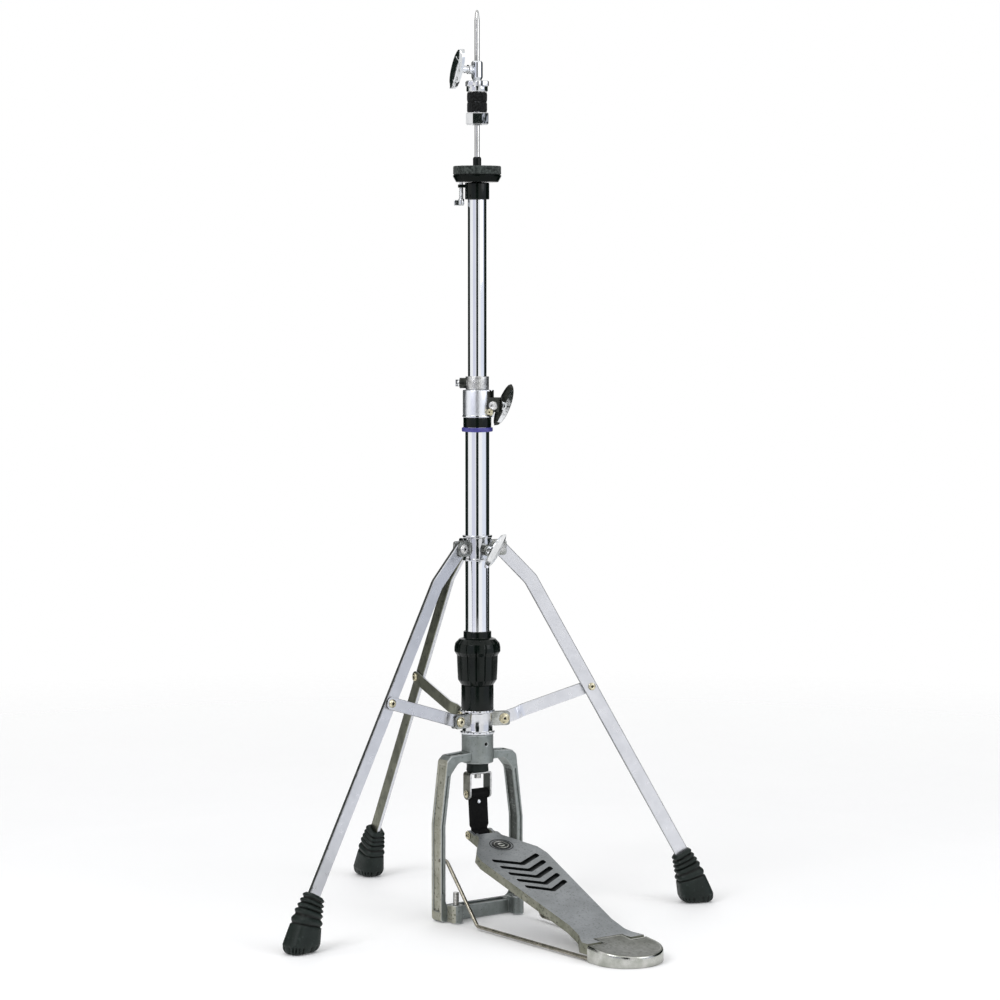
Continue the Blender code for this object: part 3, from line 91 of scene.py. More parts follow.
class Paint:
    """A Principled material with procedural colour, roughness and bump in the object's own coordinates."""

    def __init__(self, name, colour, second, rough, metallic, spots=30.0, stretch=(1, 1, 1)):
        self.material = bpy.data.materials.new(name)
        self.material.use_nodes = True
        self.tree = self.material.node_tree
        self.shader = self.tree.nodes["Principled BSDF"]
        self.shader.inputs["Metallic"].default_value = metallic
        coords = self.node("ShaderNodeTexCoord")
        mapping = self.node("ShaderNodeMapping")
        mapping.inputs["Scale"].default_value = stretch
        self.tree.links.new(coords.outputs["Object"], mapping.inputs["Vector"])
        self.place = mapping.outputs["Vector"]
        self.plain = coords.outputs["Object"]
        cloud = self.noise(spots, 5.0)
        self.colour = self.mix(cloud, colour, second)
        self.link(self.colour, "Base Color")
        low, high = rough
        self.link(self.spread(self.noise(spots * 4, 4.0), low, high), "Roughness")
        self.height = None

    def node(self, kind):
        return self.tree.nodes.new(kind)

    def link(self, output, socket):
        self.tree.links.new(output, self.shader.inputs[socket])

    def noise(self, scale, detail):
        tex = self.node("ShaderNodeTexNoise")
        tex.inputs["Scale"].default_value = scale
        tex.inputs["Detail"].default_value = detail
        self.tree.links.new(self.place, tex.inputs["Vector"])
        return tex.outputs["Fac"]

    def spread(self, value, low, high, start=0.3, end=0.7):
        node = self.node("ShaderNodeMapRange")
        for socket, number in (("From Min", start), ("From Max", end), ("To Min", low), ("To Max", high)):
            node.inputs[socket].default_value = number
        self.tree.links.new(value, node.inputs["Value"])
        return node.outputs["Result"]

    def mix(self, value, first, second, start=0.35, end=0.65):
        node = self.node("ShaderNodeMix")
        node.data_type = "RGBA"
        self.tree.links.new(self.spread(value, 0.0, 1.0, start, end), node.inputs["Factor"])
        for index, colour in ((6, first), (7, second)):
            if isinstance(colour, tuple):
                node.inputs[index].default_value = (*colour, 1.0)
            else:
                self.tree.links.new(colour, node.inputs[index])
        return node.outputs[2]

    def bump(self, value, depth):
        node = self.node("ShaderNodeBump")
        node.inputs["Distance"].default_value = depth
        node.inputs["Strength"].default_value = 1.0
        self.tree.links.new(value, node.inputs["Height"])
        if self.height:
            self.tree.links.new(self.height, node.inputs["Normal"])
        self.height = node.outputs["Normal"]
        self.link(self.height, "Normal")
        return self

    def grain(self, scale, depth, detail=3.0):
        return self.bump(self.noise(scale, detail), depth)

    def specks(self, scale, colour, start, end):
        """Small marks of another colour."""
        self.colour = self.mix(self.noise(scale, 2.0), self.colour, colour, start, end)
        self.link(self.colour, "Base Color")
        return self

    def lit_edges(self, colour, start=0.53, end=0.6):
        """A brighter colour along raised edges: a painted highlight."""
        geometry = self.node("ShaderNodeNewGeometry")
        self.colour = self.mix(geometry.outputs["Pointiness"], self.colour, colour, start, end)
        self.link(self.colour, "Base Color")
        return self

    def shaded_hollows(self, colour, start=0.47, end=0.5):
        """A darker colour in the hollows: painted shade."""
        geometry = self.node("ShaderNodeNewGeometry")
        self.colour = self.mix(geometry.outputs["Pointiness"], colour, self.colour, start, end)
        self.link(self.colour, "Base Color")
        return self

    def dull(self, level):
        self.shader.inputs["Specular IOR Level"].default_value = level
        return self

    def sheen(self, weight):
        self.shader.inputs["Sheen Weight"].default_value = weight
        self.shader.inputs["Sheen Roughness"].default_value = 0.5
        return self

    def waves(self, scale, depth, direction):
        tex = self.node("ShaderNodeTexWave")
        tex.bands_direction = direction
        tex.inputs["Scale"].default_value = scale
        tex.inputs["Distortion"].default_value = 0.6
        self.tree.links.new(self.plain, tex.inputs["Vector"])
        return self.bump(tex.outputs["Fac"], depth)


CHROME = Paint("chrome", (0.86, 0.87, 0.89), (0.8, 0.82, 0.85), (0.035, 0.085), 1.0, 18.0)
CHROME.grain(60, 0.00004)
ROUGH_CHROME = Paint("rough_chrome", (0.8, 0.81, 0.82), (0.66, 0.68, 0.69), (0.08, 0.2), 1.0, 60.0)
ROUGH_CHROME.grain(160, 0.0006, 2.0)
ROD_STEEL = Paint("rod_steel", (0.66, 0.66, 0.65), (0.54, 0.54, 0.52), (0.1, 0.18), 1.0, 90.0)
ROD_STEEL.grain(300, 0.0001)
NUT_CHROME = Paint("nut_chrome", (0.76, 0.77, 0.78), (0.6, 0.61, 0.62), (0.05, 0.14), 1.0, 60.0)
# Darker colours in hollows, here and below, are painted shade.
NUT_CHROME.grain(150, 0.0004, 1.0).shaded_hollows((0.1, 0.1, 0.1), 0.44, 0.48)
COLLAR_CHROME = Paint("collar_chrome", (0.7, 0.71, 0.73), (0.58, 0.59, 0.61), (0.06, 0.14), 1.0, 40.0)
# Brighter colours along raised edges, here and below, are painted highlights.
COLLAR_CHROME.grain(90, 0.0005, 1.0).lit_edges((0.92, 0.92, 0.94), 0.54, 0.62)
EAR_CHROME = Paint("ear_chrome", (0.46, 0.47, 0.45), (0.22, 0.23, 0.21), (0.12, 0.24), 1.0, 120.0)
EAR_CHROME.grain(260, 0.0006)
CLAMP_CHROME = Paint("clamp_chrome", (0.85, 0.87, 0.91), (0.79, 0.81, 0.86), (0.3, 0.38), 1.0, 40.0)
CLAMP_CHROME.grain(300, 0.0001)
STEEL = Paint("plated_strip", (0.7, 0.71, 0.745), (0.63, 0.64, 0.675), (0.26, 0.38), 1.0, 40.0)
STEEL.grain(500, 0.00006)
# A darker, olive copy of the plated strip: painted shade on the back leg and its brace.
SHADED_STEEL = Paint("shaded_plated_strip", (0.23, 0.235, 0.18), (0.15, 0.155, 0.12), (0.3, 0.45), 1.0, 50.0)
SHADED_STEEL.grain(500, 0.00008).specks(260, (0.1, 0.105, 0.08), 0.6, 0.72)
# A near-black copy of the plated strip: painted shade on the edges of the front legs and braces.
SHADED_STRIP_EDGE = Paint("shaded_strip_edge", (0.1, 0.105, 0.1), (0.05, 0.055, 0.05), (0.3, 0.5), 0.9, 120.0)
SHADED_STRIP_EDGE.grain(500, 0.0001)
SATIN = Paint("satin_metal", (0.5, 0.49, 0.47), (0.34, 0.34, 0.32), (0.26, 0.42), 1.0, 120.0)
SATIN.grain(900, 0.0003).specks(500, (0.14, 0.15, 0.13), 0.58, 0.7).lit_edges((0.85, 0.85, 0.84))
ZINC = Paint("zinc_plate", (0.7, 0.65, 0.48), (0.46, 0.42, 0.28), (0.18, 0.34), 1.0, 160.0)
ZINC.grain(600, 0.0001).shaded_hollows((0.06, 0.055, 0.03))
WIRE = Paint("wire", (0.36, 0.335, 0.28), (0.2, 0.19, 0.15), (0.22, 0.4), 1.0, 120.0).grain(600, 0.0002)
CAST = Paint("cast_aluminium", (0.27, 0.295, 0.285), (0.19, 0.21, 0.2), (0.34, 0.5), 0.72, 45.0)
CAST.grain(650, 0.00035).grain(120, 0.0005).specks(420, (0.12, 0.135, 0.125), 0.62, 0.74)
CAST.lit_edges((0.72, 0.75, 0.75), 0.515, 0.56).shaded_hollows((0.035, 0.042, 0.038), 0.465, 0.492)
# A lighter, beige copy of the cast paint: painted light on the yoke's outer sides.
LIT_CAST_SIDE = Paint("lit_cast_side", (0.4, 0.395, 0.33), (0.29, 0.29, 0.23), (0.4, 0.58), 0.55, 60.0)
LIT_CAST_SIDE.grain(650, 0.00035).specks(300, (0.11, 0.115, 0.08), 0.58, 0.7)
LIT_CAST_SIDE.lit_edges((0.62, 0.62, 0.57), 0.515, 0.56).shaded_hollows((0.035, 0.036, 0.026), 0.465, 0.492)
SKIRT = Paint("board_skirt", (0.25, 0.25, 0.2), (0.16, 0.165, 0.12), (0.4, 0.58), 0.5, 70.0)
SKIRT.grain(650, 0.00035).grain(150, 0.0006).specks(300, (0.07, 0.075, 0.05), 0.58, 0.7)
BOARD_TOP_PAINT = Paint("cast_board", (0.285, 0.3, 0.31), (0.235, 0.25, 0.255), (0.32, 0.46), 0.78, 26.0)
BOARD_TOP_PAINT.grain(700, 0.00022).grain(90, 0.0002).specks(420, (0.16, 0.17, 0.17), 0.58, 0.7)
HEEL_TOP = Paint("heel_top", (0.2, 0.205, 0.185), (0.14, 0.145, 0.125), (0.34, 0.48), 0.7, 60.0)
HEEL_TOP.grain(600, 0.0003).specks(300, (0.08, 0.085, 0.07), 0.58, 0.7)
POLISHED = Paint("polished_edge", (0.56, 0.56, 0.53), (0.36, 0.37, 0.33), (0.1, 0.26), 1.0, 70.0)
POLISHED.grain(300, 0.00012)
PLASTIC = Paint("black_plastic", (0.0012, 0.003, 0.002), (0.003, 0.006, 0.0045), (0.12, 0.22), 0.0, 60.0)
PLASTIC.grain(900, 0.00005).dull(0.22)
RUBBER = Paint("black_rubber", (0.0055, 0.01, 0.008), (0.011, 0.0175, 0.015), (0.34, 0.52), 0.0, 50.0)
RUBBER.grain(700, 0.0003).specks(240, (0.024, 0.034, 0.03), 0.62, 0.75).shaded_hollows((0.001, 0.002, 0.001))
RUBBER.dull(0.24)
GLOSS_BLACK = Paint("gloss_black", (0.001, 0.0022, 0.0016), (0.0022, 0.004, 0.003), (0.08, 0.16), 0.0, 60.0)
GLOSS_BLACK.grain(900, 0.00005).dull(0.1)
BRACKET = Paint("bracket", (0.25, 0.25, 0.215), (0.15, 0.15, 0.125), (0.24, 0.38), 1.0, 120.0)
BRACKET.grain(900, 0.0003)
LOCK_METAL = Paint("lock_metal", (0.72, 0.72, 0.71), (0.46, 0.46, 0.45), (0.24, 0.38), 1.0, 160.0)
LOCK_METAL.grain(900, 0.0004).specks(600, (0.2, 0.21, 0.2), 0.6, 0.72)
# A near-black cast paint: painted shade in the yoke's grooves and recesses and on the shackle's inner sides.
CAST_SHADE = Paint("cast_shade", (0.075, 0.083, 0.076), (0.045, 0.05, 0.045), (0.4, 0.55), 0.6, 60.0)
CAST_SHADE.grain(650, 0.0004).specks(300, (0.2, 0.21, 0.2), 0.64, 0.76)
FELT = Paint("black_felt", (0.002, 0.002, 0.002), (0.014, 0.015, 0.015), (0.85, 0.98), 0.0, 420.0)
FELT.grain(1300, 0.0009).grain(500, 0.0007).sheen(0.08).dull(0.15)
GREY_FELT = Paint("grey_felt", (0.01, 0.014, 0.012), (0.07, 0.082, 0.075), (0.85, 0.98), 0.0, 380.0)
GREY_FELT.grain(1200, 0.0009).grain(420, 0.0008).sheen(0.12).dull(0.2)
NYLON = Paint("blue_nylon", (0.04, 0.038, 0.19), (0.085, 0.08, 0.3), (0.26, 0.42), 0.0, 140.0)
NYLON.grain(700, 0.00008).dull(0.3)
WEBBING = Paint("webbing", (0.0015, 0.0015, 0.0018), (0.004, 0.004, 0.004), (0.55, 0.75), 0.0, 200.0)
WEBBING.waves(240, 0.0003, "Z").waves(300, 0.0002, "X").dull(0.15)
# Near black: painted shade inside the sockets of the bolt and rivet heads; also the dark washers and the
# hub's set screw.
SOCKET = Paint("dark_socket", (0.004, 0.004, 0.003), (0.012, 0.012, 0.008), (0.5, 0.7), 0.0, 300.0)
SOCKET.grain(800, 0.0001).dull(0.2)
# A dark metal: painted shade on the clamp's lugs, the wing nut's inner half and the collar ears' rims; it is
# also the memory lock's boss.
LUG_DARK = Paint("dark_lug", (0.05, 0.053, 0.045), (0.025, 0.027, 0.022), (0.28, 0.42), 0.8, 200.0)
LUG_DARK.grain(600, 0.0002)
# Near black: the emblem's print, and painted shade on the slots' walls and on the sheet under them.
INK_AND_SHADE = Paint("emblem_ink_and_shade", (0.003, 0.004, 0.004), (0.007, 0.008, 0.008), (0.3, 0.45), 0.0, 200.0)
INK_AND_SHADE.grain(900, 0.00006).dull(0.25)


# ---------------------------------------------------------------- outlines


def arc(centre, radius, start, end, steps):
    angles = [start + (end - start) * i / steps for i in range(steps + 1)]
    return [(centre[0] + radius * math.cos(a), centre[1] + radius * math.sin(a)) for a in angles]


def ellipse(centre, across, up, steps=48):
    return [(centre[0] + across * math.cos(TAU * i / steps), centre[1] + up * math.sin(TAU * i / steps))
            for i in range(steps)]


def soft(points, radius, steps=3, closed=True):
    """The line with its corners rounded, by less where its sides are short."""
    found = []
    count = len(points)
    for i, corner in enumerate(points):
        if not closed and i in (0, count - 1):
            found.append(tuple(corner))
            continue
        here = Vector(corner)
        back = Vector(points[i - 1]) - here
        ahead = Vector(points[(i + 1) % count]) - here
        if min(back.length, ahead.length) < 1e-7:
            continue
        half = math.acos(max(-1.0, min(1.0, back.normalized().dot(ahead.normalized())))) / 2
        if half > RIGHT_ANGLE - 0.06:
            found.append(tuple(corner))
            continue
        reach = min(radius / math.tan(half), 0.48 * min(back.length, ahead.length))
        bend = reach * math.tan(half)
        middle = here + (back.normalized() + ahead.normalized()).normalized() * bend / math.sin(half)
        first = here + back.normalized() * reach
        last = here + ahead.normalized() * reach
        for k in range(steps + 1):
            chord = first.lerp(last, k / steps) - middle
            found.append(tuple(middle + chord.normalized() * bend))
    return found


def mirrored(half):
    return list(half) + [(-x, y) for x, y in reversed(half)]


def stadium(first, last, radius, steps=12):
    lean = math.atan2(last[1] - first[1], last[0] - first[0])
    return (arc(last, radius, lean - RIGHT_ANGLE, lean + RIGHT_ANGLE, steps)
            + arc(first, radius, lean + RIGHT_ANGLE, lean + 3 * RIGHT_ANGLE, steps))


def facets(count, angle):
    """How far a regular polygon's side is from its centre, as a share of its corner's distance."""
    step = TAU / count
    return math.cos(step / 2) / math.cos((angle % step) - step / 2)


# ---------------------------------------------------------------- meshes


def lathe(profile, sides=64, closed=True, shape=None):
    """(radius, height) points turned about Z; shape gives the radius for an angle, radius and height."""
    bm = bmesh.new()
    rings = []
    for r, z in profile:
        if r < 1e-7:
            rings.append([bm.verts.new((0, 0, z))])
            continue
        ring = []
        for i in range(sides):
            a = TAU * i / sides
            far = shape(a, r, z) if shape else r
            ring.append(bm.verts.new((far * math.cos(a), far * math.sin(a), z)))
        rings.append(ring)
    pairs = list(zip(rings, rings[1:]))
    if closed:
        pairs.append((rings[-1], rings[0]))
    for one, two in pairs:
        for i in range(sides):
            j = (i + 1) % sides
            corners = [one[i % len(one)], one[j % len(one)], two[j % len(two)], two[i % len(two)]]
            corners = list(dict.fromkeys(corners))
            if len(corners) > 2:
                bm.faces.new(corners)
    return bm


def pin(radius, low, high, sides=24):
    return lathe([(0.0, high), (radius, high), (radius, low), (0.0, low)], sides, False)


def turned(profile, edge, steps=3, sides=96, shape=None):
    """A ring, from a closed profile with its corners rounded."""
    return lathe(soft(profile, edge, steps), sides, True, shape)


def stud(profile, edge, steps=3, sides=24):
    """A solid turned shape, from a profile with both ends on the axis."""
    return lathe(soft(profile, edge, steps, False), sides, False)


def pipe(outer, inner, bottom, top, edge, sides=96):
    return turned([(outer, top), (outer, bottom), (inner, bottom), (inner, top)], edge, 3, sides)


def solid_of(bm, place):
    bmesh.ops.transform(bm, matrix=place, verts=bm.verts)
    return bm


def plate(outline, holes=(), thick=0.002, bevel=0.0004, plane=XY, centre=(0, 0, 0), steps=1):
    """A flat shape with its edges rounded off inwards."""
    curve = bpy.data.curves.new("outline", "CURVE")
    curve.dimensions = "2D"
    curve.fill_mode = "BOTH"
    curve.extrude = thick / 2 - bevel
    curve.bevel_depth = bevel
    curve.bevel_resolution = steps
    curve.offset = -bevel
    for k, line in enumerate([outline, *holes]):
        area = sum(p[0] * q[1] - q[0] * p[1] for p, q in zip(line, [*line[1:], line[0]]))
        if (area > 0) == (k > 0):
            line = list(reversed(line))
        spline = curve.splines.new("POLY")
        spline.points.add(len(line) - 1)
        spline.use_cyclic_u = True
        for point, (x, y) in zip(spline.points, line):
            point.co = (x, y, 0.0, 1.0)
    guide = bpy.data.objects.new("outline", curve)
    SCENE.collection.objects.link(guide)
    mesh = bpy.data.meshes.new_from_object(guide.evaluated_get(bpy.context.evaluated_depsgraph_get()))
    bpy.data.objects.remove(guide, do_unlink=True)
    bm = bmesh.new()
    bm.from_mesh(mesh)
    bpy.data.meshes.remove(mesh)
    bmesh.ops.remove_doubles(bm, verts=bm.verts, dist=0.000002)
    return solid_of(bm, Matrix.Translation(centre) @ plane)


def block(low, high, bevel=0.0005, segments=2):
    bm = bmesh.new()
    size = Vector(high) - Vector(low)
    bmesh.ops.create_cube(bm, size=1.0, matrix=Matrix.Translation((Vector(high) + Vector(low)) / 2)
                          @ Matrix.Diagonal((*size, 1.0)))
    if bevel:
        bmesh.ops.bevel(bm, geom=list(bm.edges), offset=bevel, segments=segments, profile=0.6, affect="EDGES")
    return bm


def joined(*parts):
    """Several meshes as shells of one."""
    whole = parts[0]
    for part in parts[1:]:
        mesh = bpy.data.meshes.new("part")
        part.to_mesh(mesh)
        part.free()
        whole.from_mesh(mesh)
        bpy.data.meshes.remove(mesh)
    return whole


def loft(rings):
    """A skin over rings of points, with the first and last closed."""
    bm = bmesh.new()
    made = [[bm.verts.new(p) for p in ring] for ring in rings]
    for one, two in zip(made, made[1:]):
        for i in range(len(one)):
            bm.faces.new((one[i - 1], one[i], two[i], two[i - 1]))
    bm.faces.new(made[0])
    bm.faces.new(list(reversed(made[-1])))
    return bm


def strip(samples, thick, bevel):
    """A flat bar through samples of (centre, across, through, half width)."""
    half = thick / 2
    rings = []
    for centre, across, through, wide in samples:
        edge = min(bevel, wide * 0.5)
        corners = ((wide, half - bevel), (wide - edge, half), (edge - wide, half), (-wide, half - bevel),
                   (-wide, bevel - half), (edge - wide, -half), (wide - edge, -half), (wide, bevel - half))
        rings.append([centre + across * u + through * v for u, v in corners])
    return loft(rings)


def wire(points, radius, steps=10):
    """A round wire through points, drawn in at each end."""
    rings = []
    count = len(points)
    previous = Vector((0.3, 0.2, 0.9))
    for i, point in enumerate(points):
        ahead = (points[min(i + 1, count - 1)] - points[max(i - 1, 0)]).normalized()
        side = (previous - ahead * previous.dot(ahead)).normalized()
        other = ahead.cross(side)
        previous = side
        shrink = 0.55 if i in (0, count - 1) else 1.0
        angles = [TAU * k / steps for k in range(steps)]
        rings.append([point + (side * math.cos(a) + other * math.sin(a)) * radius * shrink for a in angles])
    return loft(rings)


def smooth_path(corners, radius, step):
    """Points along straight runs joined by arcs."""
    points = []
    for i, corner in enumerate(corners):
        if i in (0, len(corners) - 1):
            points.append(corner)
            continue
        back = corners[i - 1] - corner
        ahead = corners[i + 1] - corner
        half = back.angle(ahead) / 2
        reach = min(radius / math.tan(half), 0.45 * min(back.length, ahead.length))
        first = corner + back.normalized() * reach
        last = corner + ahead.normalized() * reach
        for k in range(9):
            t = k / 8
            points.append(first * (1 - t) ** 2 + corner * 2 * t * (1 - t) + last * t ** 2)
    dense = [points[0]]
    for one, two in zip(points, points[1:]):
        cuts = max(1, round((two - one).length / step))
        dense += [one.lerp(two, k / cuts) for k in range(1, cuts + 1)]
    return dense


def evaluated(obj):
    mesh = bpy.data.meshes.new_from_object(obj.evaluated_get(bpy.context.evaluated_depsgraph_get()))
    bm = bmesh.new()
    bm.from_mesh(mesh)
    bpy.data.meshes.remove(mesh)
    return bm


def hidden(bm):
    mesh = bpy.data.meshes.new("tool")
    bmesh.ops.recalc_face_normals(bm, faces=bm.faces)
    bm.to_mesh(mesh)
    bm.free()
    obj = bpy.data.objects.new("tool", mesh)
    SCENE.collection.objects.link(obj)
    return obj


def carved(base, steps, voxel=0.0, rounds=0):
    """A mesh after booleans, each step being (operation, mesh), and then a voxel remesh that softens it."""
    whole = hidden(base)
    tools = []
    for operation, bm in steps:
        tool = hidden(bm)
        tools.append(tool)
        modifier = whole.modifiers.new("step", "BOOLEAN")
        modifier.operation = operation
        modifier.object = tool
        modifier.solver = "EXACT"
    if voxel:
        remesh = whole.modifiers.new("remesh", "REMESH")
        remesh.mode = "VOXEL"
        remesh.voxel_size = voxel
        calm = whole.modifiers.new("calm", "SMOOTH")
        calm.factor = 0.5
        calm.iterations = rounds
    bm = evaluated(whole)
    for obj in (whole, *tools):
        bpy.data.objects.remove(obj, do_unlink=True)
    return bm


# ---------------------------------------------------------------- pieces


def piece(name, bm, paint, body, place=None, sharp=42.0):
    if place is not None:
        bmesh.ops.transform(bm, matrix=place, verts=bm.verts)
    bmesh.ops.remove_doubles(bm, verts=bm.verts, dist=0.0000005)
    bmesh.ops.recalc_face_normals(bm, faces=bm.faces)
    mesh = bpy.data.meshes.new(name)
    bm.to_mesh(mesh)
    bm.free()
    mesh.shade_smooth()
    mesh.set_sharp_from_angle(angle=math.radians(sharp))
    for finish in paint if isinstance(paint, tuple) else (paint,):
        mesh.materials.append(finish.material)
    obj = bpy.data.objects.new(name, mesh)
    SCENE.collection.objects.link(obj)
    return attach(obj, body)


def show(node, bm, paint, place=None, sharp=42.0):
    """The detailed piece that stands for a CAD node."""
    obj = piece(f"{node}_look", bm, paint, BODY_OF[node], place, sharp)
    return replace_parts(obj, node)


def keep(node, paint):
    """A CAD node that stays, with a better finish and smooth shading."""
    obj = frame["nodes"][node]
    obj.data.materials.clear()
    obj.data.materials.append(paint.material)
    obj.data.shade_smooth()
    weld = obj.modifiers.new("weld", "WELD")
    weld.merge_threshold = 0.000005
    split = obj.modifiers.new("split", "EDGE_SPLIT")
    split.split_angle = math.radians(35)
    return obj


def repaint(obj, slot, test):
    """Gives a piece's second material to the faces that pass a test of (centre, normal)."""
    for face in obj.data.polygons:
        if test(face.center, face.normal):
            face.material_index = slot
    return obj


def tube(node, outer, inner, bottom, top, paint, edge=0.0005):
    return show(node, pipe(outer, inner, bottom, top, edge), paint)


def threaded(radius, depth, pitch, bottom, top, sides=24):
    """A screw thread with chamfered ends."""
    rows = max(4, round((top - bottom) / pitch * 8))
    profile = [(0.0, top)]
    profile += [(radius, top - (top - bottom) * i / rows) for i in range(rows + 1)]
    profile.append((0.0, bottom))

    def shape(a, r, z):
        phase = (z / pitch - a / TAU) % 1.0
        end = min(1.0, (min(z - bottom, top - z) + 0.0003) / 0.001)
        return r - depth * abs(2 * phase - 1) - (1 - end) * depth

    return lathe(profile, sides, False, shape)


def head(radius, height, socket):
    """A low round head with a hex socket sunk in it, standing on z = 0."""
    profile = [
        (0.0, height * 0.35), (socket, height * 0.35), (socket, height * 0.97), (radius * 0.62, height),
        (radius * 0.92, height * 0.65), (radius, height * 0.25), (radius, 0.0), (0.0, 0.0),
    ]
    return lathe(soft(profile, 0.0003, 2, False), 32, False,
                 lambda a, r, z: r * facets(6, a) if r <= socket + 1e-6 else r)


def bolt(node, radius, head_r, half, high, place, paint=ZINC, socket=0.0016):
    """A pin with a socket head at each end, each over a thin dark washer."""
    washer, thick, gap = 0.0008, 0.0003, 0.0001
    near = solid_of(head(head_r, high, socket), move(0, 0, half))
    far = solid_of(head(head_r, high, socket), move(0, 0, -half) @ OVER)
    shims = [pin(head_r + washer, z - thick, z + thick, 32) for z in (half + gap, -half - gap)]
    obj = show(node, joined(pin(radius, -half, half), near, far, *shims), (paint, SOCKET), place)
    inverse = place.inverted()

    def in_socket(centre, normal):
        local = inverse @ centre
        far = math.hypot(local.x, local.y)
        return abs(local.z) > half - 0.0005 and (far < socket * 0.97 or far > head_r + 0.0001)

    # The sockets' insides are painted near black as painted shade; the washers are dark.
    return repaint(obj, 1, in_socket)


def wing(left, right, length, ridge, rise, thick, pinch=0.25, rows=28):
    """A cast wing along Y that rises along Z: its half widths, its length and where its crest runs."""
    rings = []
    for i in range(rows + 1):
        t = -1 + 2 * i / rows
        full = math.sqrt(max(0.0, 1 - abs(t) ** 2.4)) * (1 - pinch) + pinch * (1 - t * t) + 0.02
        y = t * length / 2
        lift = rise * (1 - 0.55 * t * t)
        low, high, crest = -left * full, right * full, ridge * full
        section = (
            (low, -thick * 0.3), (low, thick * 0.3), ((low + crest) * 0.5, thick * 0.4 + lift * 0.45),
            (crest, thick * 0.5 + lift), ((high + crest) * 0.5, thick * 0.45 + lift * 0.62),
            (high, thick * 0.3), (high, -thick * 0.3), (crest, -thick * 0.5),
        )
        rings.append([Vector((x, y, z)) for x, z in section])
    return loft(rings)


# ---------------------------------------------------------------- measures shared with the CAD

LEG_TURNS = {"right": -19.3, "back": 84.7, "left": -171.3}
LEG_PIVOT = Vector((0.0275, 0.0, 0.44))
LEG_BEND = Vector((0.0656, 0.0, 0.401))
LEG_END = Vector((0.272, 0.0, 0.0366))
BRACE_IN = Vector((0.032, 0.0, 0.236))
BRACE_OUT = Vector((0.1419, 0.0, 0.2694))
HEEL_HINGE = Vector((0.0, -0.258, 0.011))
TILT = math.radians(19.3)
BOARD = Matrix.Translation(HEEL_HINGE) @ Matrix.Rotation(TILT, 4, "X")
TOE_PIN = Vector((0.0, -0.004, 0.099))
SHACKLE_PIN = Vector((0.0, 0.0, 0.1475))
ACROSS = Vector((0, 1, 0))
TUBE_RADIUS = 0.0143
# The bore of every ring that fits round the lower tube.
BORE = 0.0146
LOCK_HEIGHT = 0.634
SPUR_X, SPUR_Y = 0.0445, -0.019
BOARD_TOP = 0.007
SLOTS = 5

# Bearings about the column, in degrees from +X.
CLAMP_TURN = -60
SEAT_TURN = 145
CLUTCH_TURN = 175
WING_TURN = -91
SET_SCREW_TURN = -91.5


# ---------------------------------------------------------------- the column


def column():
    tube("lower_tube", TUBE_RADIUS, 0.0127, 0.1898, 0.6255, CHROME)
    tube("upper_tube", 0.0111, 0.0099, 0.528, 0.8597, CHROME)
    tube("clamp_bush", 0.0166, BORE, 0.5823, 0.5937, PLASTIC)
    tube("clamp_ring", 0.0183, BORE, 0.577, 0.582, NYLON, 0.0009)
    rod = [(0.0, 1.068), (0.001, 1.068), (0.0021, 1.0645), (0.003, 1.056), (0.003, 0.4753), (0.0, 0.4753)]
    show("pull_rod", stud(rod, 0.0008, 4, 48), ROD_STEEL)
    keep("lower_rod", SATIN)
    keep("spring_seat", ZINC)
    spring()


def spring():
    bottom, top, turns, steps, radius = 0.3107, 0.4024, 9, 24, 0.0089
    points = []
    for i in range(turns * steps + 1):
        a = TAU * i / steps
        z = bottom + (top - bottom) * i / (turns * steps)
        points.append(Vector((radius * math.cos(a), radius * math.sin(a), z)))
    obj = show("return_spring", wire(points, 0.0011, 8), SATIN)
    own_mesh(obj)


def knob():
    bottom, top = 0.2775, 0.341
    flutes, flute_depth, grip = 14, 0.0013, 0.02

    def fluted(a, r, z):
        groove = abs(((a * flutes / TAU) % 1.0) - 0.5) * 2
        depth = max(0.0, groove - 0.8) / 0.2
        if r < grip or z < bottom + 0.0035 or z > top - 0.0125:
            return r
        low = min(1.0, (z - bottom - 0.0035) / 0.004)
        return r - flute_depth * low * depth * depth * (3 - 2 * depth)

    profile = [
        (0.0165, top), (0.0165, top - 0.0075), (0.0215, top - 0.009), (0.0262, top - 0.014),
        (0.0273, top - 0.019), (0.0273, top - 0.024), (0.0243, top - 0.0285), (0.024, top - 0.038),
        (0.0237, top - 0.046), (0.0231, bottom + 0.006), (0.0192, bottom), (0.0173, bottom),
        (0.0173, 0.3295), (BORE, 0.3295), (BORE, top),
    ]
    show("tension_knob", turned(profile, 0.0012, 4, 168, fluted), PLASTIC)
    sleeve = [(0.0169, 0.327), (0.0169, 0.2772), (0.0192, 0.2772), (0.0192, 0.248), (BORE, 0.248),
              (BORE, 0.327)]
    show("spring_housing", turned(sleeve, 0.0006), PLASTIC)


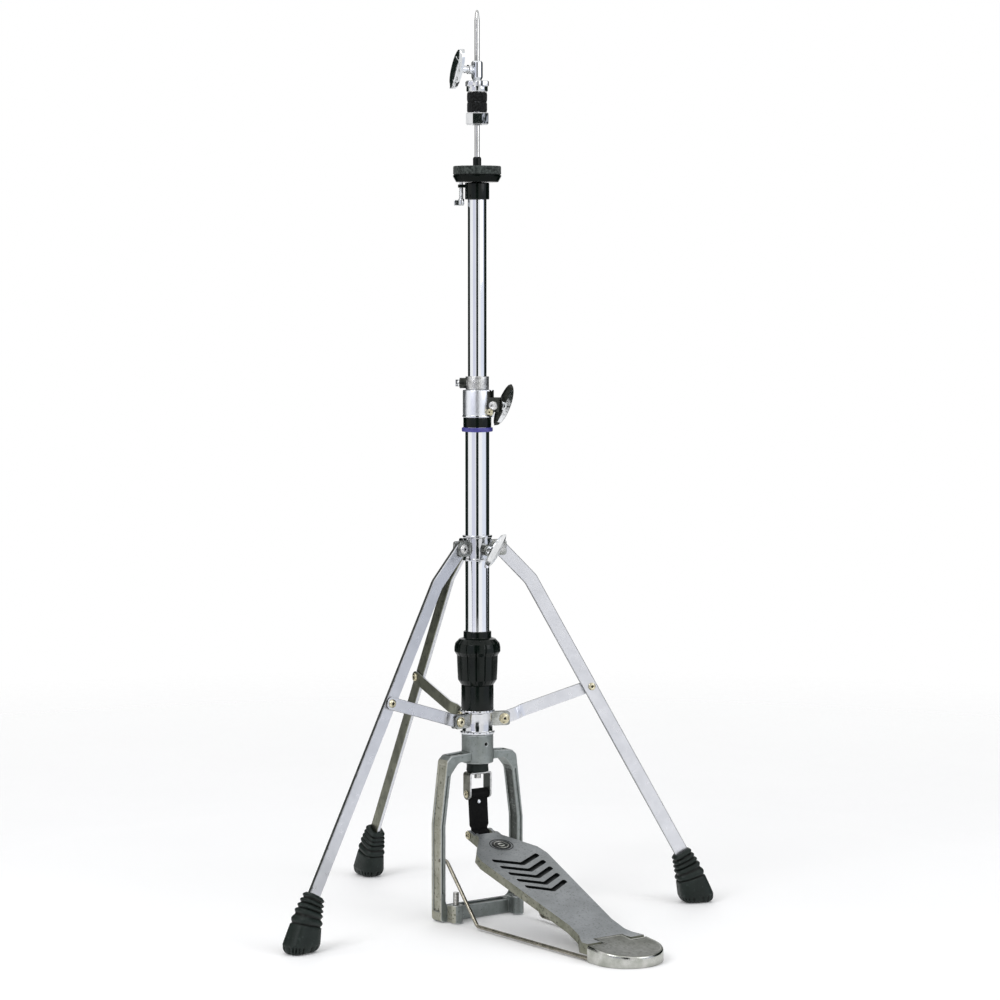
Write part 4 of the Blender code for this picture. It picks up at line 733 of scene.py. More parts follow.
def clamp():
    """A split ring with two ears, with a lip under it."""
    place = turn(CLAMP_TURN)
    outer, reach, half, split, corner = 0.0171, 0.03, 0.0065, 0.0015, 0.002
    first, inner = math.asin(half / outer), math.asin(split / BORE)
    outline = [*arc((0, 0), outer, first, TAU - first, 84), (reach - corner, -half), (reach, corner - half),
               (reach, -split), *arc((0, 0), BORE, TAU - inner, inner, 84), (reach, split),
               (reach, half - corner), (reach - corner, half)]
    ring = plate(outline, (), 0.032, 0.0009, XY, (0, 0, 0.61), 3)
    cutters = [
        ("DIFFERENCE", block((0.0185, -0.02, 0.6175), (0.04, 0.02, 0.65), 0)),
        ("DIFFERENCE", block((0.0185, -0.02, 0.57), (0.04, 0.02, 0.6005), 0)),
    ]
    lip = [(0.0176, 0.5965), (0.0178, 0.5946), (0.0172, 0.594), (0.015, 0.594), (0.015, 0.5968)]
    whole = joined(carved(ring, cutters), turned(lip, 0.0004))
    obj = show("tube_clamp", whole, (CLAMP_CHROME, LUG_DARK, CHROME), place)
    back = place.inverted()
    # The lugs take the dark metal as painted shade.
    repaint(obj, 1, lambda c, n: (back @ c).x > 0.0175)
    repaint(obj, 2, lambda c, n: c.z < 0.5975)
    piece("clamp_rivet", head(0.0044, 0.0036, 0.0012), ZINC, "stand_base",
          place @ move(0.0198, -0.0066, 0.6004) @ along((0, -1, 0)))
    clamp_bolt(place @ move(0.024, 0, 0.608) @ ON_Y)
    memory_lock()


def clamp_bolt(axis):
    """The clamp's bolt, and its wing nut, whose inner half is painted dark as painted shade."""
    low = -0.0068
    cap = solid_of(head(0.0055, 0.0038, 0.002), move(0, 0, low) @ OVER)
    show("clamp_bolt", joined(pin(0.003, low, 0.025), cap), LOCK_METAL, axis)
    stem = turned([(0.0066, 0.0071), (0.0058, 0.0215), (0.0034, 0.0225), (0.0034, 0.0071)], 0.0006, 3, 32)
    set_at = move(0, 0, 0.0205) @ turn(23) @ Matrix.Rotation(math.pi, 4, "Y")
    blade = solid_of(wing(0.0062, 0.009, 0.053, -0.001, 0.003, 0.0036), set_at)
    obj = show("clamp_wing_nut", joined(stem, blade), (ROUGH_CHROME, LUG_DARK), axis)
    back = (axis @ set_at).inverted()
    near, far = ((axis @ set_at @ Vector((x, 0, 0))).to_2d().length for x in (0.005, -0.005))
    inward = 1 if near < far else -1
    # The half towards the column is painted dark: painted shade.
    repaint(obj, 1, lambda c, n: (back @ c).x * inward > -0.004 and abs((back @ c).z) < 0.006)


def memory_lock():
    place = turn(SEAT_TURN)
    boss = stud([(0.0, 0.0085), (0.003, 0.0085), (0.0062, 0.0085), (0.0062, 0.0), (0.0, 0.0)], 0.0006, 3, 32)
    boss = solid_of(boss, move(0.0123, 0, LOCK_HEIGHT) @ ON_X)
    ring = pipe(0.0138, 0.0114, 0.6263, 0.642, 0.0006)
    obj = show("memory_lock", joined(ring, boss), (LOCK_METAL, LUG_DARK), place)
    repaint(obj, 1, lambda c, n: (c - Vector((0, 0, c.z))).length > 0.0141)
    stem = threaded(0.0025, 0.0003, 0.0008, -0.001, 0.0095)
    stop = stud([(0.0, 0.0098), (0.0045, 0.0098), (0.0045, 0.0078), (0.0, 0.0078)], 0.0004, 2)
    key = block((-0.0042, -0.0017, 0.009), (0.0042, 0.0017, 0.0128), 0.0008)
    bar = block((-0.0017, -0.0042, 0.009), (0.0017, 0.0042, 0.0128), 0.0008)
    show("memory_lock_bolt", joined(stem, stop, key, bar), ROUGH_CHROME,
         place @ move(0.013, 0, LOCK_HEIGHT) @ ON_X)


def fuzz(a, r, z, amount, seed):
    return r + amount * noise.noise(Vector((math.cos(a) * r * 900, math.sin(a) * r * 900 + seed, z * 900)))


def felt(node, profile, paint, seed, sides=96):
    """A felt ring, its skin broken up by fibres."""
    dense = []
    closed = [*profile, profile[0]]
    for one, two in zip(closed, closed[1:]):
        cuts = max(1, round((Vector(two) - Vector(one)).length / 0.001))
        dense += [tuple(Vector(one).lerp(Vector(two), k / cuts)) for k in range(cuts)]
    lumps = lathe(dense, sides, True, lambda a, r, z: fuzz(a, r, z, 0.00028, seed))
    for vert in lumps.verts:
        vert.co.z += 0.00022 * noise.noise(vert.co * 700)
    obj = show(node, lumps, paint, sharp=80)
    return obj


def cymbal_seat():
    place = turn(SEAT_TURN)
    sleeve = [(0.004, 0.898), (0.0049, 0.8962), (0.0049, 0.8603), (0.0036, 0.8603), (0.0036, 0.898)]
    show("rod_sleeve", turned(sleeve, 0.0004, 3, 48), PLASTIC)
    cup = [(0.0285, 0.877), (0.0283, 0.875), (0.0262, 0.8712), (0.0247, 0.8685), (0.009, 0.8685),
           (0.009, 0.877)]
    show("seat_cup", turned(cup, 0.0012, 4), GLOSS_BLACK)
    ring = [(0.0274, 0.8873), (0.028, 0.8862), (0.028, 0.8782), (0.0272, 0.8774), (0.009, 0.8774),
            (0.009, 0.8873)]
    felt("seat_felt", soft(ring, 0.0006), GREY_FELT, 3.0, 160)
    hub = [(0.0143, 0.868), (0.0143, 0.8485), (0.0114, 0.8485), (0.0114, 0.86), (0.0052, 0.86),
           (0.0052, 0.868)]
    ear = block((0.012, -0.0036, 0.8622), (0.0225, 0.0036, 0.866), 0.001, 3)
    dimple = solid_of(pin(0.0016, 0.0, 0.01, 20), turn(-145) @ turn(-156) @ move(0.0134, 0, 0.8525) @ ON_X)
    steps = [("UNION", ear), ("DIFFERENCE", dimple)]
    show("seat_hub", carved(turned(hub, 0.001, 4), steps), PLASTIC, place)
    stem = threaded(0.0027, 0.0006, 0.0012, 0.849, 0.8619)
    tip = pin(0.0021, 0.86, 0.8682)
    base = stud([(0.0, 0.8496), (0.0034, 0.8496), (0.0034, 0.8425), (0.0, 0.8425)], 0.0008)
    lever = block((-0.003, -0.0015, 0.8413), (0.0085, 0.0015, 0.848), 0.0009, 3)
    parts = [solid_of(part, move(0.0185, 0, 0)) for part in (stem, tip, base, lever)]
    show("tilt_screw", joined(*parts), ROUGH_CHROME, place)


def clutch():
    place = turn(CLUTCH_TURN)
    body = [(0.0052, 1.0092), (0.0067, 1.0074), (0.0067, 0.99), (0.005, 0.9868), (0.005, 0.9355),
            (0.0033, 0.9355), (0.0033, 1.0092)]
    show("clutch_body", turned(body, 0.0008, 4, 64), CHROME, place)
    star = [(0.0126, 0.9862), (0.0136, 0.9852), (0.0136, 0.9802), (0.0128, 0.9797), (0.0126, 0.9784),
            (0.0126, 0.9742), (0.0118, 0.9733), (0.0053, 0.9733), (0.0053, 0.9862)]
    show("clutch_lock_nut", turned(star, 0.0004, 2, 144, starred), NUT_CHROME)
    upper = [(0.0113, 0.9728), (0.0117, 0.971), (0.0117, 0.964), (0.0112, 0.9616), (0.0054, 0.9616),
             (0.0054, 0.9728)]
    felt("clutch_felt_upper", soft(upper, 0.0005), FELT, 1.0)
    lower = [(0.0112, 0.9612), (0.0117, 0.9592), (0.0117, 0.9518), (0.0113, 0.95), (0.0054, 0.95),
             (0.0054, 0.9612)]
    felt("clutch_felt_lower", soft(lower, 0.0005), FELT, 2.0)
    nut = [(0.013, 0.9494), (0.0142, 0.9482), (0.0142, 0.9364), (0.0128, 0.935), (0.0055, 0.935),
           (0.0055, 0.9494)]
    show("clutch_bottom_nut", turned(nut, 0.0005, 2, 96, octagonal), NUT_CHROME, sharp=24)
    clutch_screw(place @ move(0.0033, 0, 0.999) @ ON_X)


def starred(a, r, z):
    """The lock nut's six lobes, above its plain foot."""
    return r + 0.0011 * math.cos(6 * a) * (r > 0.011) * (z > 0.9796)


def octagonal(a, r, z):
    """The bottom nut's eight sides, round a round bore."""
    return r if r < 0.01 else r * facets(8, a + 0.2)


def clutch_screw(axis):
    profile = [(0.0, 0.0235), (0.004, 0.0235), (0.0046, 0.013), (0.0036, 0.0118), (0.0036, 0.01),
               (0.0054, 0.0092), (0.0054, 0.0052), (0.0026, 0.0048), (0.0026, 0.0), (0.0, 0.0)]
    stem = stud(profile, 0.0005, 3, 40)
    lean = turn(-28)
    blade = solid_of(wing(0.0105, 0.0105, 0.05, 0.0, 0.0014, 0.0056, 0.12), move(0, 0, 0.0235) @ lean)
    line = soft([(-0.006, -0.012), (0.0062, -0.016), (0.007, 0.012), (-0.0048, 0.015)], 0.002)
    face = solid_of(plate(line, (), 0.0026, 0.0008), move(0, 0, 0.0265) @ lean)
    show("clutch_wing_screw", joined(stem, blade, face), ROUGH_CHROME, axis)


# ---------------------------------------------------------------- the tripod


def ear_pair(place, pivot, inner, back, high, wall=0.0027):
    outline = soft([(pivot.x - back, pivot.z - high), (pivot.x + 0.007, pivot.z - high),
                    (pivot.x + 0.007, pivot.z + high), (pivot.x - back, pivot.z + high)], 0.003, 5)
    return [solid_of(plate(outline, (), wall, 0.0005, XZ, (0, way * (inner + wall / 2), 0), 2), place)
            for way in (-1, 1)]


def ears_dark(obj, reach):
    """Gives the ears a duller finish than the ring, and rims painted dark as painted shade."""
    def rim(face, normal):
        across = [abs(Vector((math.cos(a), math.sin(a), 0)).cross(Vector((normal.x, normal.y, 0))).z)
                  for a in (math.radians(t) for t in LEG_TURNS.values())]
        return math.hypot(face.x, face.y) > reach + 0.002 and min(abs(1 - c) for c in across) > 0.05

    repaint(obj, 1, lambda c, n: math.hypot(c.x, c.y) > reach)
    # The rims are painted dark as painted shade.
    return repaint(obj, 2, rim)


def waisted(rim, waist, lip, neck, low, high, shape=None):
    """A collar ring with a rim at each end of a narrower waist."""
    profile = [(rim, high), (rim, high - lip), (waist, high - neck), (waist, low + neck), (rim, low + lip),
               (rim, low), (BORE, low), (BORE, high)]
    return turned(profile, 0.0006, 3, 96, shape)


def collar(node, ring, pivot, inner, back, high, reach, extras=()):
    """A collar of the tripod: its ring, a pair of ears for each leg, and anything else on it."""
    parts = [ring]
    for degrees in LEG_TURNS.values():
        parts += ear_pair(turn(degrees), pivot, inner, back, high)
    obj = show(node, joined(*parts, *extras), (COLLAR_CHROME, EAR_CHROME, LUG_DARK))
    ears_dark(obj, reach)


def collars():
    def knurl(a, r, z):
        return r - (0.0004 * (1 + math.cos(24 * a)) if r > 0.0195 else 0)

    ring = waisted(0.0204, 0.018, 0.0028, 0.0038, 0.2193, 0.2477, knurl)
    collar("lower_collar", ring, BRACE_IN, 0.0019, 0.0155, 0.0082, 0.0207)
    ring = waisted(0.0176, 0.0168, 0.0022, 0.003, 0.425, 0.455)
    boss = stud([(0.0, 0.0092), (0.0045, 0.0092), (0.007, 0.0092), (0.007, 0.0), (0.0, 0.0)], 0.0008, 3, 48)
    facing = turn(WING_TURN)
    boss = solid_of(boss, facing @ move(0.015, 0, 0.4385) @ ON_X)
    collar("upper_collar", ring, LEG_PIVOT, 0.0029, 0.012, 0.009, 0.018, (boss,))
    profile = [(0.0, 0.0225), (0.0046, 0.0225), (0.0054, 0.0105), (0.0038, 0.0098), (0.0038, 0.0), (0.0, 0.0)]
    stem = stud(profile, 0.0006, 3, 40)
    blade = solid_of(wing(0.0055, 0.0058, 0.047, 0.0006, 0.0022, 0.0046), move(0, 0, 0.0225) @ turn(-36))
    show("collar_wing_bolt", joined(stem, blade), ROUGH_CHROME, facing @ move(0.0146, 0, 0.4385) @ ON_X)


# Face paint, then edge paint: the front strips get edges darkened as painted shade, the back strips a face
# darkened as painted shade with plain plated edges.
STRIP_PAINTS = {"right": (STEEL, SHADED_STRIP_EDGE), "left": (STEEL, SHADED_STRIP_EDGE), "back": (SHADED_STEEL, STEEL)}


def leg(side, place):
    half = 0.00825
    path = smooth_path([LEG_PIVOT, LEG_BEND, LEG_END], 0.016, 0.006)
    start = (LEG_BEND - LEG_PIVOT).normalized()
    samples = []
    for k in range(9):
        back = half * math.cos(RIGHT_ANGLE * k / 8)
        wide = max(0.0008, half * math.sin(RIGHT_ANGLE * k / 8))
        samples.append((LEG_PIVOT - start * back, start.cross(ACROSS), ACROSS, wide))
    for i in range(1, len(path)):
        ahead = (path[min(i + 1, len(path) - 1)] - path[i - 1]).normalized()
        samples.append((path[i], ahead.cross(ACROSS), ACROSS, half))
    obj = show(f"{side}_leg", strip(samples, 0.005, 0.0007), STRIP_PAINTS[side], place)
    out = place.to_3x3() @ ACROSS
    # The edges take the second paint: painted shade on the front legs, the plain plating on the back one,
    # whose face carries the painted shade.
    repaint(obj, 1, lambda c, n: abs(n.dot(out)) < 0.4)
    bolt(f"{side}_leg_bolt", 0.003, 0.0055, 0.0059, 0.0028,
         place @ Matrix.Translation(LEG_PIVOT) @ ON_Y, LOCK_METAL)


def brace(side, place):
    half, set_over = 0.0074, 0.0044
    run = BRACE_OUT - BRACE_IN
    ahead = run.normalized()
    across = ahead.cross(ACROSS)
    samples = []
    steps = 90
    for i in range(steps + 1):
        s = -half + (run.length + 2 * half) * (0.5 - 0.5 * math.cos(math.pi * i / steps))
        over = max(-s, s - run.length, 0.0)
        wide = max(0.0006, math.sqrt(max(0.0, half * half - over * over)))
        t = min(1.0, max(0.0, (s - 0.015) / 0.013))
        samples.append((BRACE_IN + ahead * s + ACROSS * set_over * t * t * (3 - 2 * t), across, ACROSS, wide))
    obj = show(f"{side}_brace", strip(samples, 0.003, 0.0005), STRIP_PAINTS[side], place)
    away = place.to_3x3() @ ACROSS
    # The edges take the second paint: painted shade on the front braces, the plain plating on the back one,
    # whose face carries the painted shade.
    repaint(obj, 1, lambda c, n: abs(n.dot(away)) < 0.3)
    bolt(f"{side}_brace_bolt", 0.003, 0.0055, 0.0049, 0.0024, place @ Matrix.Translation(BRACE_IN) @ ON_Y)
    brace_rivet(side, place @ Matrix.Translation(BRACE_OUT))


def brace_rivet(side, out):
    """The rivet at a brace's outer end, and its second head, which turns with the brace."""
    low = solid_of(head(0.0046, 0.0022, 0.0018), move(0, 0, -0.0025) @ OVER)
    show(f"{side}_brace_rivet", joined(pin(0.003, -0.0027, 0.0025), low), ZINC, out @ ON_Y)
    lift = 0.0059
    cap = piece(f"{side}_rivet_head", head(0.005, 0.0024, 0.002), (ZINC, SOCKET),
                BODY_OF[f"{side}_brace"], out @ move(0, lift, 0) @ ON_Y)
    centre = out @ Vector((0, lift, 0))
    # The socket is painted near black as painted shade.
    repaint(cap, 1, lambda c, n: (c - centre).length < 0.0021)


FOOT_SECTIONS = (
    (0.2565, 0.0625, 29.5, 0.0108, 0.009),
    (0.265, 0.043, 22.0, 0.015, 0.012),
    (0.276, 0.01, 3.0, 0.021, 0.0155),
    (0.278, 0.0, 0.0, 0.019, 0.0138),
)


def foot_section(share):
    """The boot's section at a share of its height, from the top."""
    spot = share * 3
    k = min(2, int(spot))
    t = spot - k
    return [a + (b - a) * t for a, b in zip(FOOT_SECTIONS[k], FOOT_SECTIONS[k + 1])]


def foot_ring(section, grow, sides=144, teeth=0.0):
    x, z, tilt, half_x, half_y = section
    lean = Matrix.Rotation(-math.radians(tilt), 3, "Y")
    square = 0.6
    ring = []
    for i in range(sides):
        a = TAU * i / sides
        u, v = math.cos(a), math.sin(a)
        flat = Vector((math.copysign(abs(u) ** square, u) * (half_x + grow),
                       math.copysign(abs(v) ** square, v) * (half_y + grow), 0))
        flat *= 1 - teeth * max(0.0, math.sin(20 * a)) ** 1.5
        ring.append(lean @ flat + Vector((x, 0.0, z)))
    return ring


def foot(side, place):
    rings = [foot_ring(foot_section(0.03), -0.0055), foot_ring(foot_section(0.0), -0.0038),
             foot_ring(foot_section(0.0), -0.0012)]
    rows = 72
    ribs = 5
    ribbed = 0.46
    for i in range(1, rows):
        share = i / rows
        grow = 0.0
        if share < ribbed:
            wave = 0.5 - 0.5 * math.cos(TAU * ribs * share / ribbed)
            grow = 0.0024 * wave ** 0.6 - 0.0014
        teeth = 0.1 * min(1.0, max(0.0, (share - 0.68) / 0.1))
        section = foot_section(share)
        under = max(0.0, 0.006 - section[1])
        grow -= 0.006 - math.sqrt(0.006 ** 2 - under ** 2)
        rings.append(foot_ring(section, grow, teeth=teeth))
    rings.append(foot_ring(foot_section(1.0), -0.0065, teeth=0.06))
    show(f"{side}_foot", loft(rings), RUBBER, place, sharp=60)


def tripod():
    collars()
    for side, degrees in LEG_TURNS.items():
        place = turn(degrees)
        leg(side, place)
        brace(side, place)
        foot(side, place)


# ---------------------------------------------------------------- the pedal frame


def side_steps(way):
    """The grooves, bosses and holes of one side of the yoke."""
    side = [(0.063, 0.012), (0.063, 0.116), (0.0543, 0.188), (0.05, 0.186), (0.0583, 0.114), (0.0583, 0.012)]
    inner = [(0.049, 0.034), (0.0546, 0.034), (0.0546, 0.1148), (0.0468, 0.17), (0.042, 0.17),
             (0.049, 0.112)]
    arm = [(0.02, 0.1958), (0.0415, 0.1944), (0.044, 0.205), (0.02, 0.205)]
    front = [(0.058, 0.034), (0.058, 0.1152), (0.05, 0.174), (0.0476, 0.1737), (0.0556, 0.1148),
             (0.0556, 0.034)]
    steps = []
    for line, wide, y in ((side, 0.0134, 0.0), (inner, 0.0116, 0.0), (arm, 0.0112, 0.0),
                          (front, 0.0026, -0.0104)):
        cut = plate([(way * x, z) for x, z in soft(line, 0.002, 3)], (), wide, 0.0006, XZ, (0, y, 0), 1)
        steps.append(("DIFFERENCE", cut))
    x = way * SPUR_X
    boss = stud([(0.0, 0.022), (0.007, 0.022), (0.007, 0.0002), (0.0, 0.0002)], 0.001, 2, 40)
    steps.append(("UNION", solid_of(boss, move(x, -0.0205, 0))))
    steps.append(("UNION", block((x - 0.0062, -0.021, 0.0003), (x + 0.0062, -0.006, 0.0205), 0.001)))
    steps.append(("DIFFERENCE", solid_of(pin(0.0042, -0.01, 0.05), move(x, SPUR_Y, 0))))
    eye = solid_of(pin(0.0026, -0.02, 0.02, 20), move(way * 0.056, -0.006, 0.074) @ ON_X)
    steps.append(("DIFFERENCE", eye))
    return steps


def pedal_frame():
    line = [(0.06, 0.0), (0.06, 0.115), (0.0505, 0.1905), (0.044, 0.1966), (0.0148, 0.1985)]
    outer = soft(mirrored(line), 0.005, 5)
    line = [(0.0525, 0.017), (0.0525, 0.115), (0.0445, 0.1745), (0.033, 0.188)]
    window = soft(mirrored(line), 0.009, 7)
    yoke = plate(outer, (window,), 0.02, 0.0012, XZ, (0, 0, 0), 2)
    hub = [(0.0188, 0.219), (0.0188, 0.1845), (0.0046, 0.1845), (0.0046, 0.1895), (BORE, 0.1895),
           (BORE, 0.219)]
    steps = [("UNION", turned(hub, 0.001)), ("DIFFERENCE", pin(0.0144, 0.19, 0.23, 64))]
    steps += side_steps(-1) + side_steps(1)
    steps.append(("DIFFERENCE", block((-0.04, -0.006, 0.0125), (0.04, 0.006, 0.025), 0.001)))
    facing = turn(SET_SCREW_TURN)
    screw = solid_of(pin(0.0021, 0.0, 0.02), facing @ move(0.014, 0, 0.208) @ ON_X)
    steps.append(("DIFFERENCE", screw))
    obj = show("pedal_frame", carved(yoke, steps, 0.0007, 2), (CAST, LIT_CAST_SIDE, CAST_SHADE), sharp=80)
    shade_frame(obj)
    piece("hub_set_screw", head(0.0019, 0.0016, 0.0009), SOCKET, "stand_base",
          facing @ move(0.016, 0, 0.208) @ ON_X)
    piece("guide_bush", pipe(0.006, 0.0045, 0.1846, 0.1905, 0.0004, 40), PLASTIC, "stand_base")
    for name, way in (("left", -1), ("right", 1)):
        stem = threaded(0.0038, 0.0008, 0.0018, 0.004, 0.0362)
        tip = lathe([(0.0034, 0.0045), (0.0, 0.0), (0.0, 0.0045)], 24)
        show(f"spur_screw_{name}", joined(stem, tip), SATIN, move(way * SPUR_X, SPUR_Y, 0.0008))
        radius_rod(name, way)


def shade_frame(obj):
    """Painted shade in the recesses of the arms, on the shoulders and along the foot, and painted light on
    the outer sides, which are lighter.
    """
    repaint(obj, 2, lambda c, n: 0.02 < c.z < 0.178 and abs(c.x) > 0.04 and -0.0097 < c.y < 0.0062
            and n.x * c.x < 0.005 and n.y * c.y <= 0.0)
    repaint(obj, 2, lambda c, n: n.z > 0.6 and 0.19 < c.z < 0.1975 and 0.0195 < abs(c.x) < 0.044
            and abs(c.y) < 0.0058)
    repaint(obj, 2, lambda c, n: n.z > 0.7 and 0.008 < c.z < 0.0175 and abs(c.x) < 0.044 and c.y > -0.0088)
    repaint(obj, 1, lambda c, n: abs(n.x) > 0.7 and abs(c.x) > 0.0475 and n.x * c.x > 0)


def radius_rod(name, way):
    line = ((0.0606, -0.006, 0.074), (0.0495, -0.006, 0.0735), (0.047, -0.066, 0.0046),
            (0.038, -0.281, 0.0036))
    path = smooth_path([Vector((way * x, y, z)) for x, y, z in line], 0.006, 0.004)
    show(f"radius_rod_{name}", wire(path, 0.0022, 16), WIRE)


# ---------------------------------------------------------------- heel plate and footboard


def heel_top(y):
    return 0.0195 + (y + 0.269) * math.tan(math.radians(6.5))


def heel_ring(inset, share, drop=0.0):
    """The heel plate's outline drawn in by the inset, at a share of its height."""
    half = 0.042 - inset
    tab = 0.02 - inset
    front = -0.269 - inset
    line = [(half, front), *arc((0.0, -0.285), half, 0.0, -math.pi, 48), (-half, front), (-tab, front),
            (-tab, -0.2518 - inset), (tab, -0.2518 - inset), (tab, front)]
    return [Vector((x, y, heel_top(y) * share - drop)) for x, y in line]


def heel_plate():
    rows = ((0.003, 0.02), (0.0008, 0.0), (0.0, 0.08), (0.0, 0.8), (0.0004, 0.91), (0.0012, 0.975),
            (0.0024, 1.0), (0.0034, 1.0), (0.0038, 1.0, 0.0003))
    obj = show("heel_plate", loft([heel_ring(*row) for row in rows]), (POLISHED, HEEL_TOP), sharp=50)
    repaint(obj, 1, lambda c, n: n.z > 0.9)
    keep("heel_hinge_pin", ZINC)


def board_profile():
    """The board's side view in the world's Y and Z: straight, then level over the heel hinge."""
    def at(y, z):
        point = BOARD @ Vector((0, y, z))
        return (point.y, point.z)

    level = 0.0202
    top = [at(0.262, 0.007), at(0.03, 0.007), (-0.252, level), (-0.2672, level)]
    low = [(-0.2672, 0.0078), (-0.25, 0.0078), at(0.014, -0.003), at(0.262, -0.003)]
    return soft(top, 0.05, 10, False) + low


def board_outline(inset):
    half = [(0.0165, 0.258), (0.0165, 0.248), (0.044, 0.212), (0.047, 0.196), (0.03, 0.042),
            (0.032, 0.02), (0.04, 0.004), (0.04, -0.014)]
    return mirrored([(x - inset, y) for x, y in half])


def chevron(index, grow=0.0):
    tip = 0.176 - index * 0.0157
    half = 0.033 - index * 0.001 + grow
    shoulder = tip + 0.0155
    width = 0.0074
    return soft([(half, shoulder - grow), (half, shoulder + width + grow), (0.0, tip + width + grow),
                 (-half, shoulder + width + grow), (-half, shoulder - grow), (0.0, tip - grow)], 0.003, 5)


def footboard():
    slab = plate(board_profile(), (), 0.12, 0.0, YZ, (0, 0, 0), 0)
    plan = plate(soft(board_outline(0.0), 0.004, 5), [chevron(i) for i in range(SLOTS)], 0.1, 0.0)
    pocket_line = [(x, min(max(y, 0.016), 0.24)) for x, y in board_outline(0.0035)]
    pocket = plate(pocket_line, (), 0.024, 0.0, XY, (0, 0, -0.008))
    steps = [("INTERSECT", plan), ("DIFFERENCE", pocket)]
    pin_at = BOARD.inverted() @ TOE_PIN
    for way in (-1, 1):
        lug = plate(stadium((0.246, pin_at.z), (pin_at.y, pin_at.z), 0.0055, 12), (), 0.0045, 0.0006, YZ,
                    (way * 0.01425, 0, 0), 2)
        steps.append(("UNION", lug))
    steps.append(("DIFFERENCE", block((-0.012, 0.255, -0.02), (0.012, 0.3, 0.02), 0)))
    steps.append(("DIFFERENCE", block((-0.0208, -0.03, -0.03), (0.0208, 0.0092, 0.03), 0)))
    whole = carved(slab, [(operation, solid_of(tool, BOARD)) for operation, tool in steps])
    bmesh.ops.dissolve_limit(whole, angle_limit=0.005, verts=whole.verts, edges=whole.edges)
    obj = show("footboard", whole, (BOARD_TOP_PAINT, SKIRT, POLISHED, INK_AND_SHADE), sharp=35)
    repaint(obj, 1, lambda c, n: n.z < 0.55)
    back = BOARD.inverted()

    def in_slot(centre, normal):
        spot = back @ centre
        return abs(spot.x) < 0.0345 and 0.105 < spot.y < 0.203 and abs(normal.z) < 0.75

    # The slots' walls are painted near black as painted shade.
    repaint(obj, 3, in_slot)
    edge = obj.modifiers.new("edge", "BEVEL")
    edge.width = 0.0009
    edge.segments = 2
    edge.limit_method = "ANGLE"
    edge.angle_limit = math.radians(40)
    edge.material = 2
    board_trim()


def board_trim():
    """A dark sheet behind the slots, as painted shade, and a plain badge of rings and a dot."""
    centre = (0.001, 0.226)

    def disc(wide, long, lift, thick, hole=None):
        holes = (ellipse(centre, *hole),) if hole else ()
        return plate(ellipse(centre, wide, long), holes, thick, 0.0001, XY, (0, 0, BOARD_TOP + lift))

    # A near-black sheet under the slots, where there is only shade: painted shade.
    shade_sheet = plate(mirrored([(0.038, 0.206), (0.04, 0.192), (0.029, 0.1)]), (), 0.0006, 0.0, XY,
                    (0, 0, BOARD_TOP - 0.0035))
    piece("slot_shade_sheet", solid_of(shade_sheet, BOARD), INK_AND_SHADE, "board_body")
    badge = joined(disc(0.0126, 0.0104, 0, 0.0006), disc(0.0154, 0.0129, 0, 0.0006, (0.0142, 0.0118)))
    piece("board_emblem", solid_of(badge, BOARD), INK_AND_SHADE, "board_body")
    rings = joined(disc(0.0092, 0.0079, 0.0002, 0.0005, (0.008, 0.0068)),
                   disc(0.0046, 0.0039, 0.0002, 0.0005, (0.002, 0.0017)))
    piece("emblem_rings", solid_of(rings, BOARD), POLISHED, "board_body")
    bolt("toe_pin", 0.0025, 0.0042, 0.0168, 0.0018, Matrix.Translation(TOE_PIN) @ ON_X)


# ---------------------------------------------------------------- the link


def link():
    bumper = [(0.0131, 0.1842), (0.0128, 0.18), (0.0133, 0.1752), (0.0127, 0.1738), (0.0043, 0.1738),
              (0.0043, 0.1842)]
    show("rod_bumper", turned(bumper, 0.0006, 3, 64), RUBBER)
    shackle()
    strap()


def shackle():
    reach, low, top, half = 0.0146, 0.1405, 0.1723, 0.0075
    corners = [Vector((x, 0, z)) for x, z in ((-reach, low), (-reach, top), (reach, top), (reach, low))]
    path = smooth_path(corners, 0.003, 0.0012)
    total = sum((b - a).length for a, b in zip(path, path[1:]))
    samples = []
    done = 0.0
    for i, point in enumerate(path):
        if i:
            done += (point - path[i - 1]).length
        ahead = (path[min(i + 1, len(path) - 1)] - path[max(i - 1, 0)]).normalized()
        end = min(done, total - done)
        wide = math.sqrt(max(0.0, half * half - max(0.0, half - end) ** 2)) if end < half else half
        samples.append((point, ACROSS, ahead.cross(ACROSS), max(0.0008, wide)))
    obj = show("strap_shackle", strip(samples, 0.0024, 0.0006), (BRACKET, CAST_SHADE, LOCK_METAL))
    # The inner sides and the underside are painted dark as painted shade, and the front edges lighter as
    # painted highlight.
    repaint(obj, 1, lambda c, n: (abs(n.x) > 0.8 and n.x * c.x < 0) or n.z < -0.8)
    repaint(obj, 2, lambda c, n: n.y < -0.5)
    bolt("shackle_pin", 0.0024, 0.0036, 0.0161, 0.0014, Matrix.Translation(SHACKLE_PIN) @ ON_X,
         socket=0.0012)


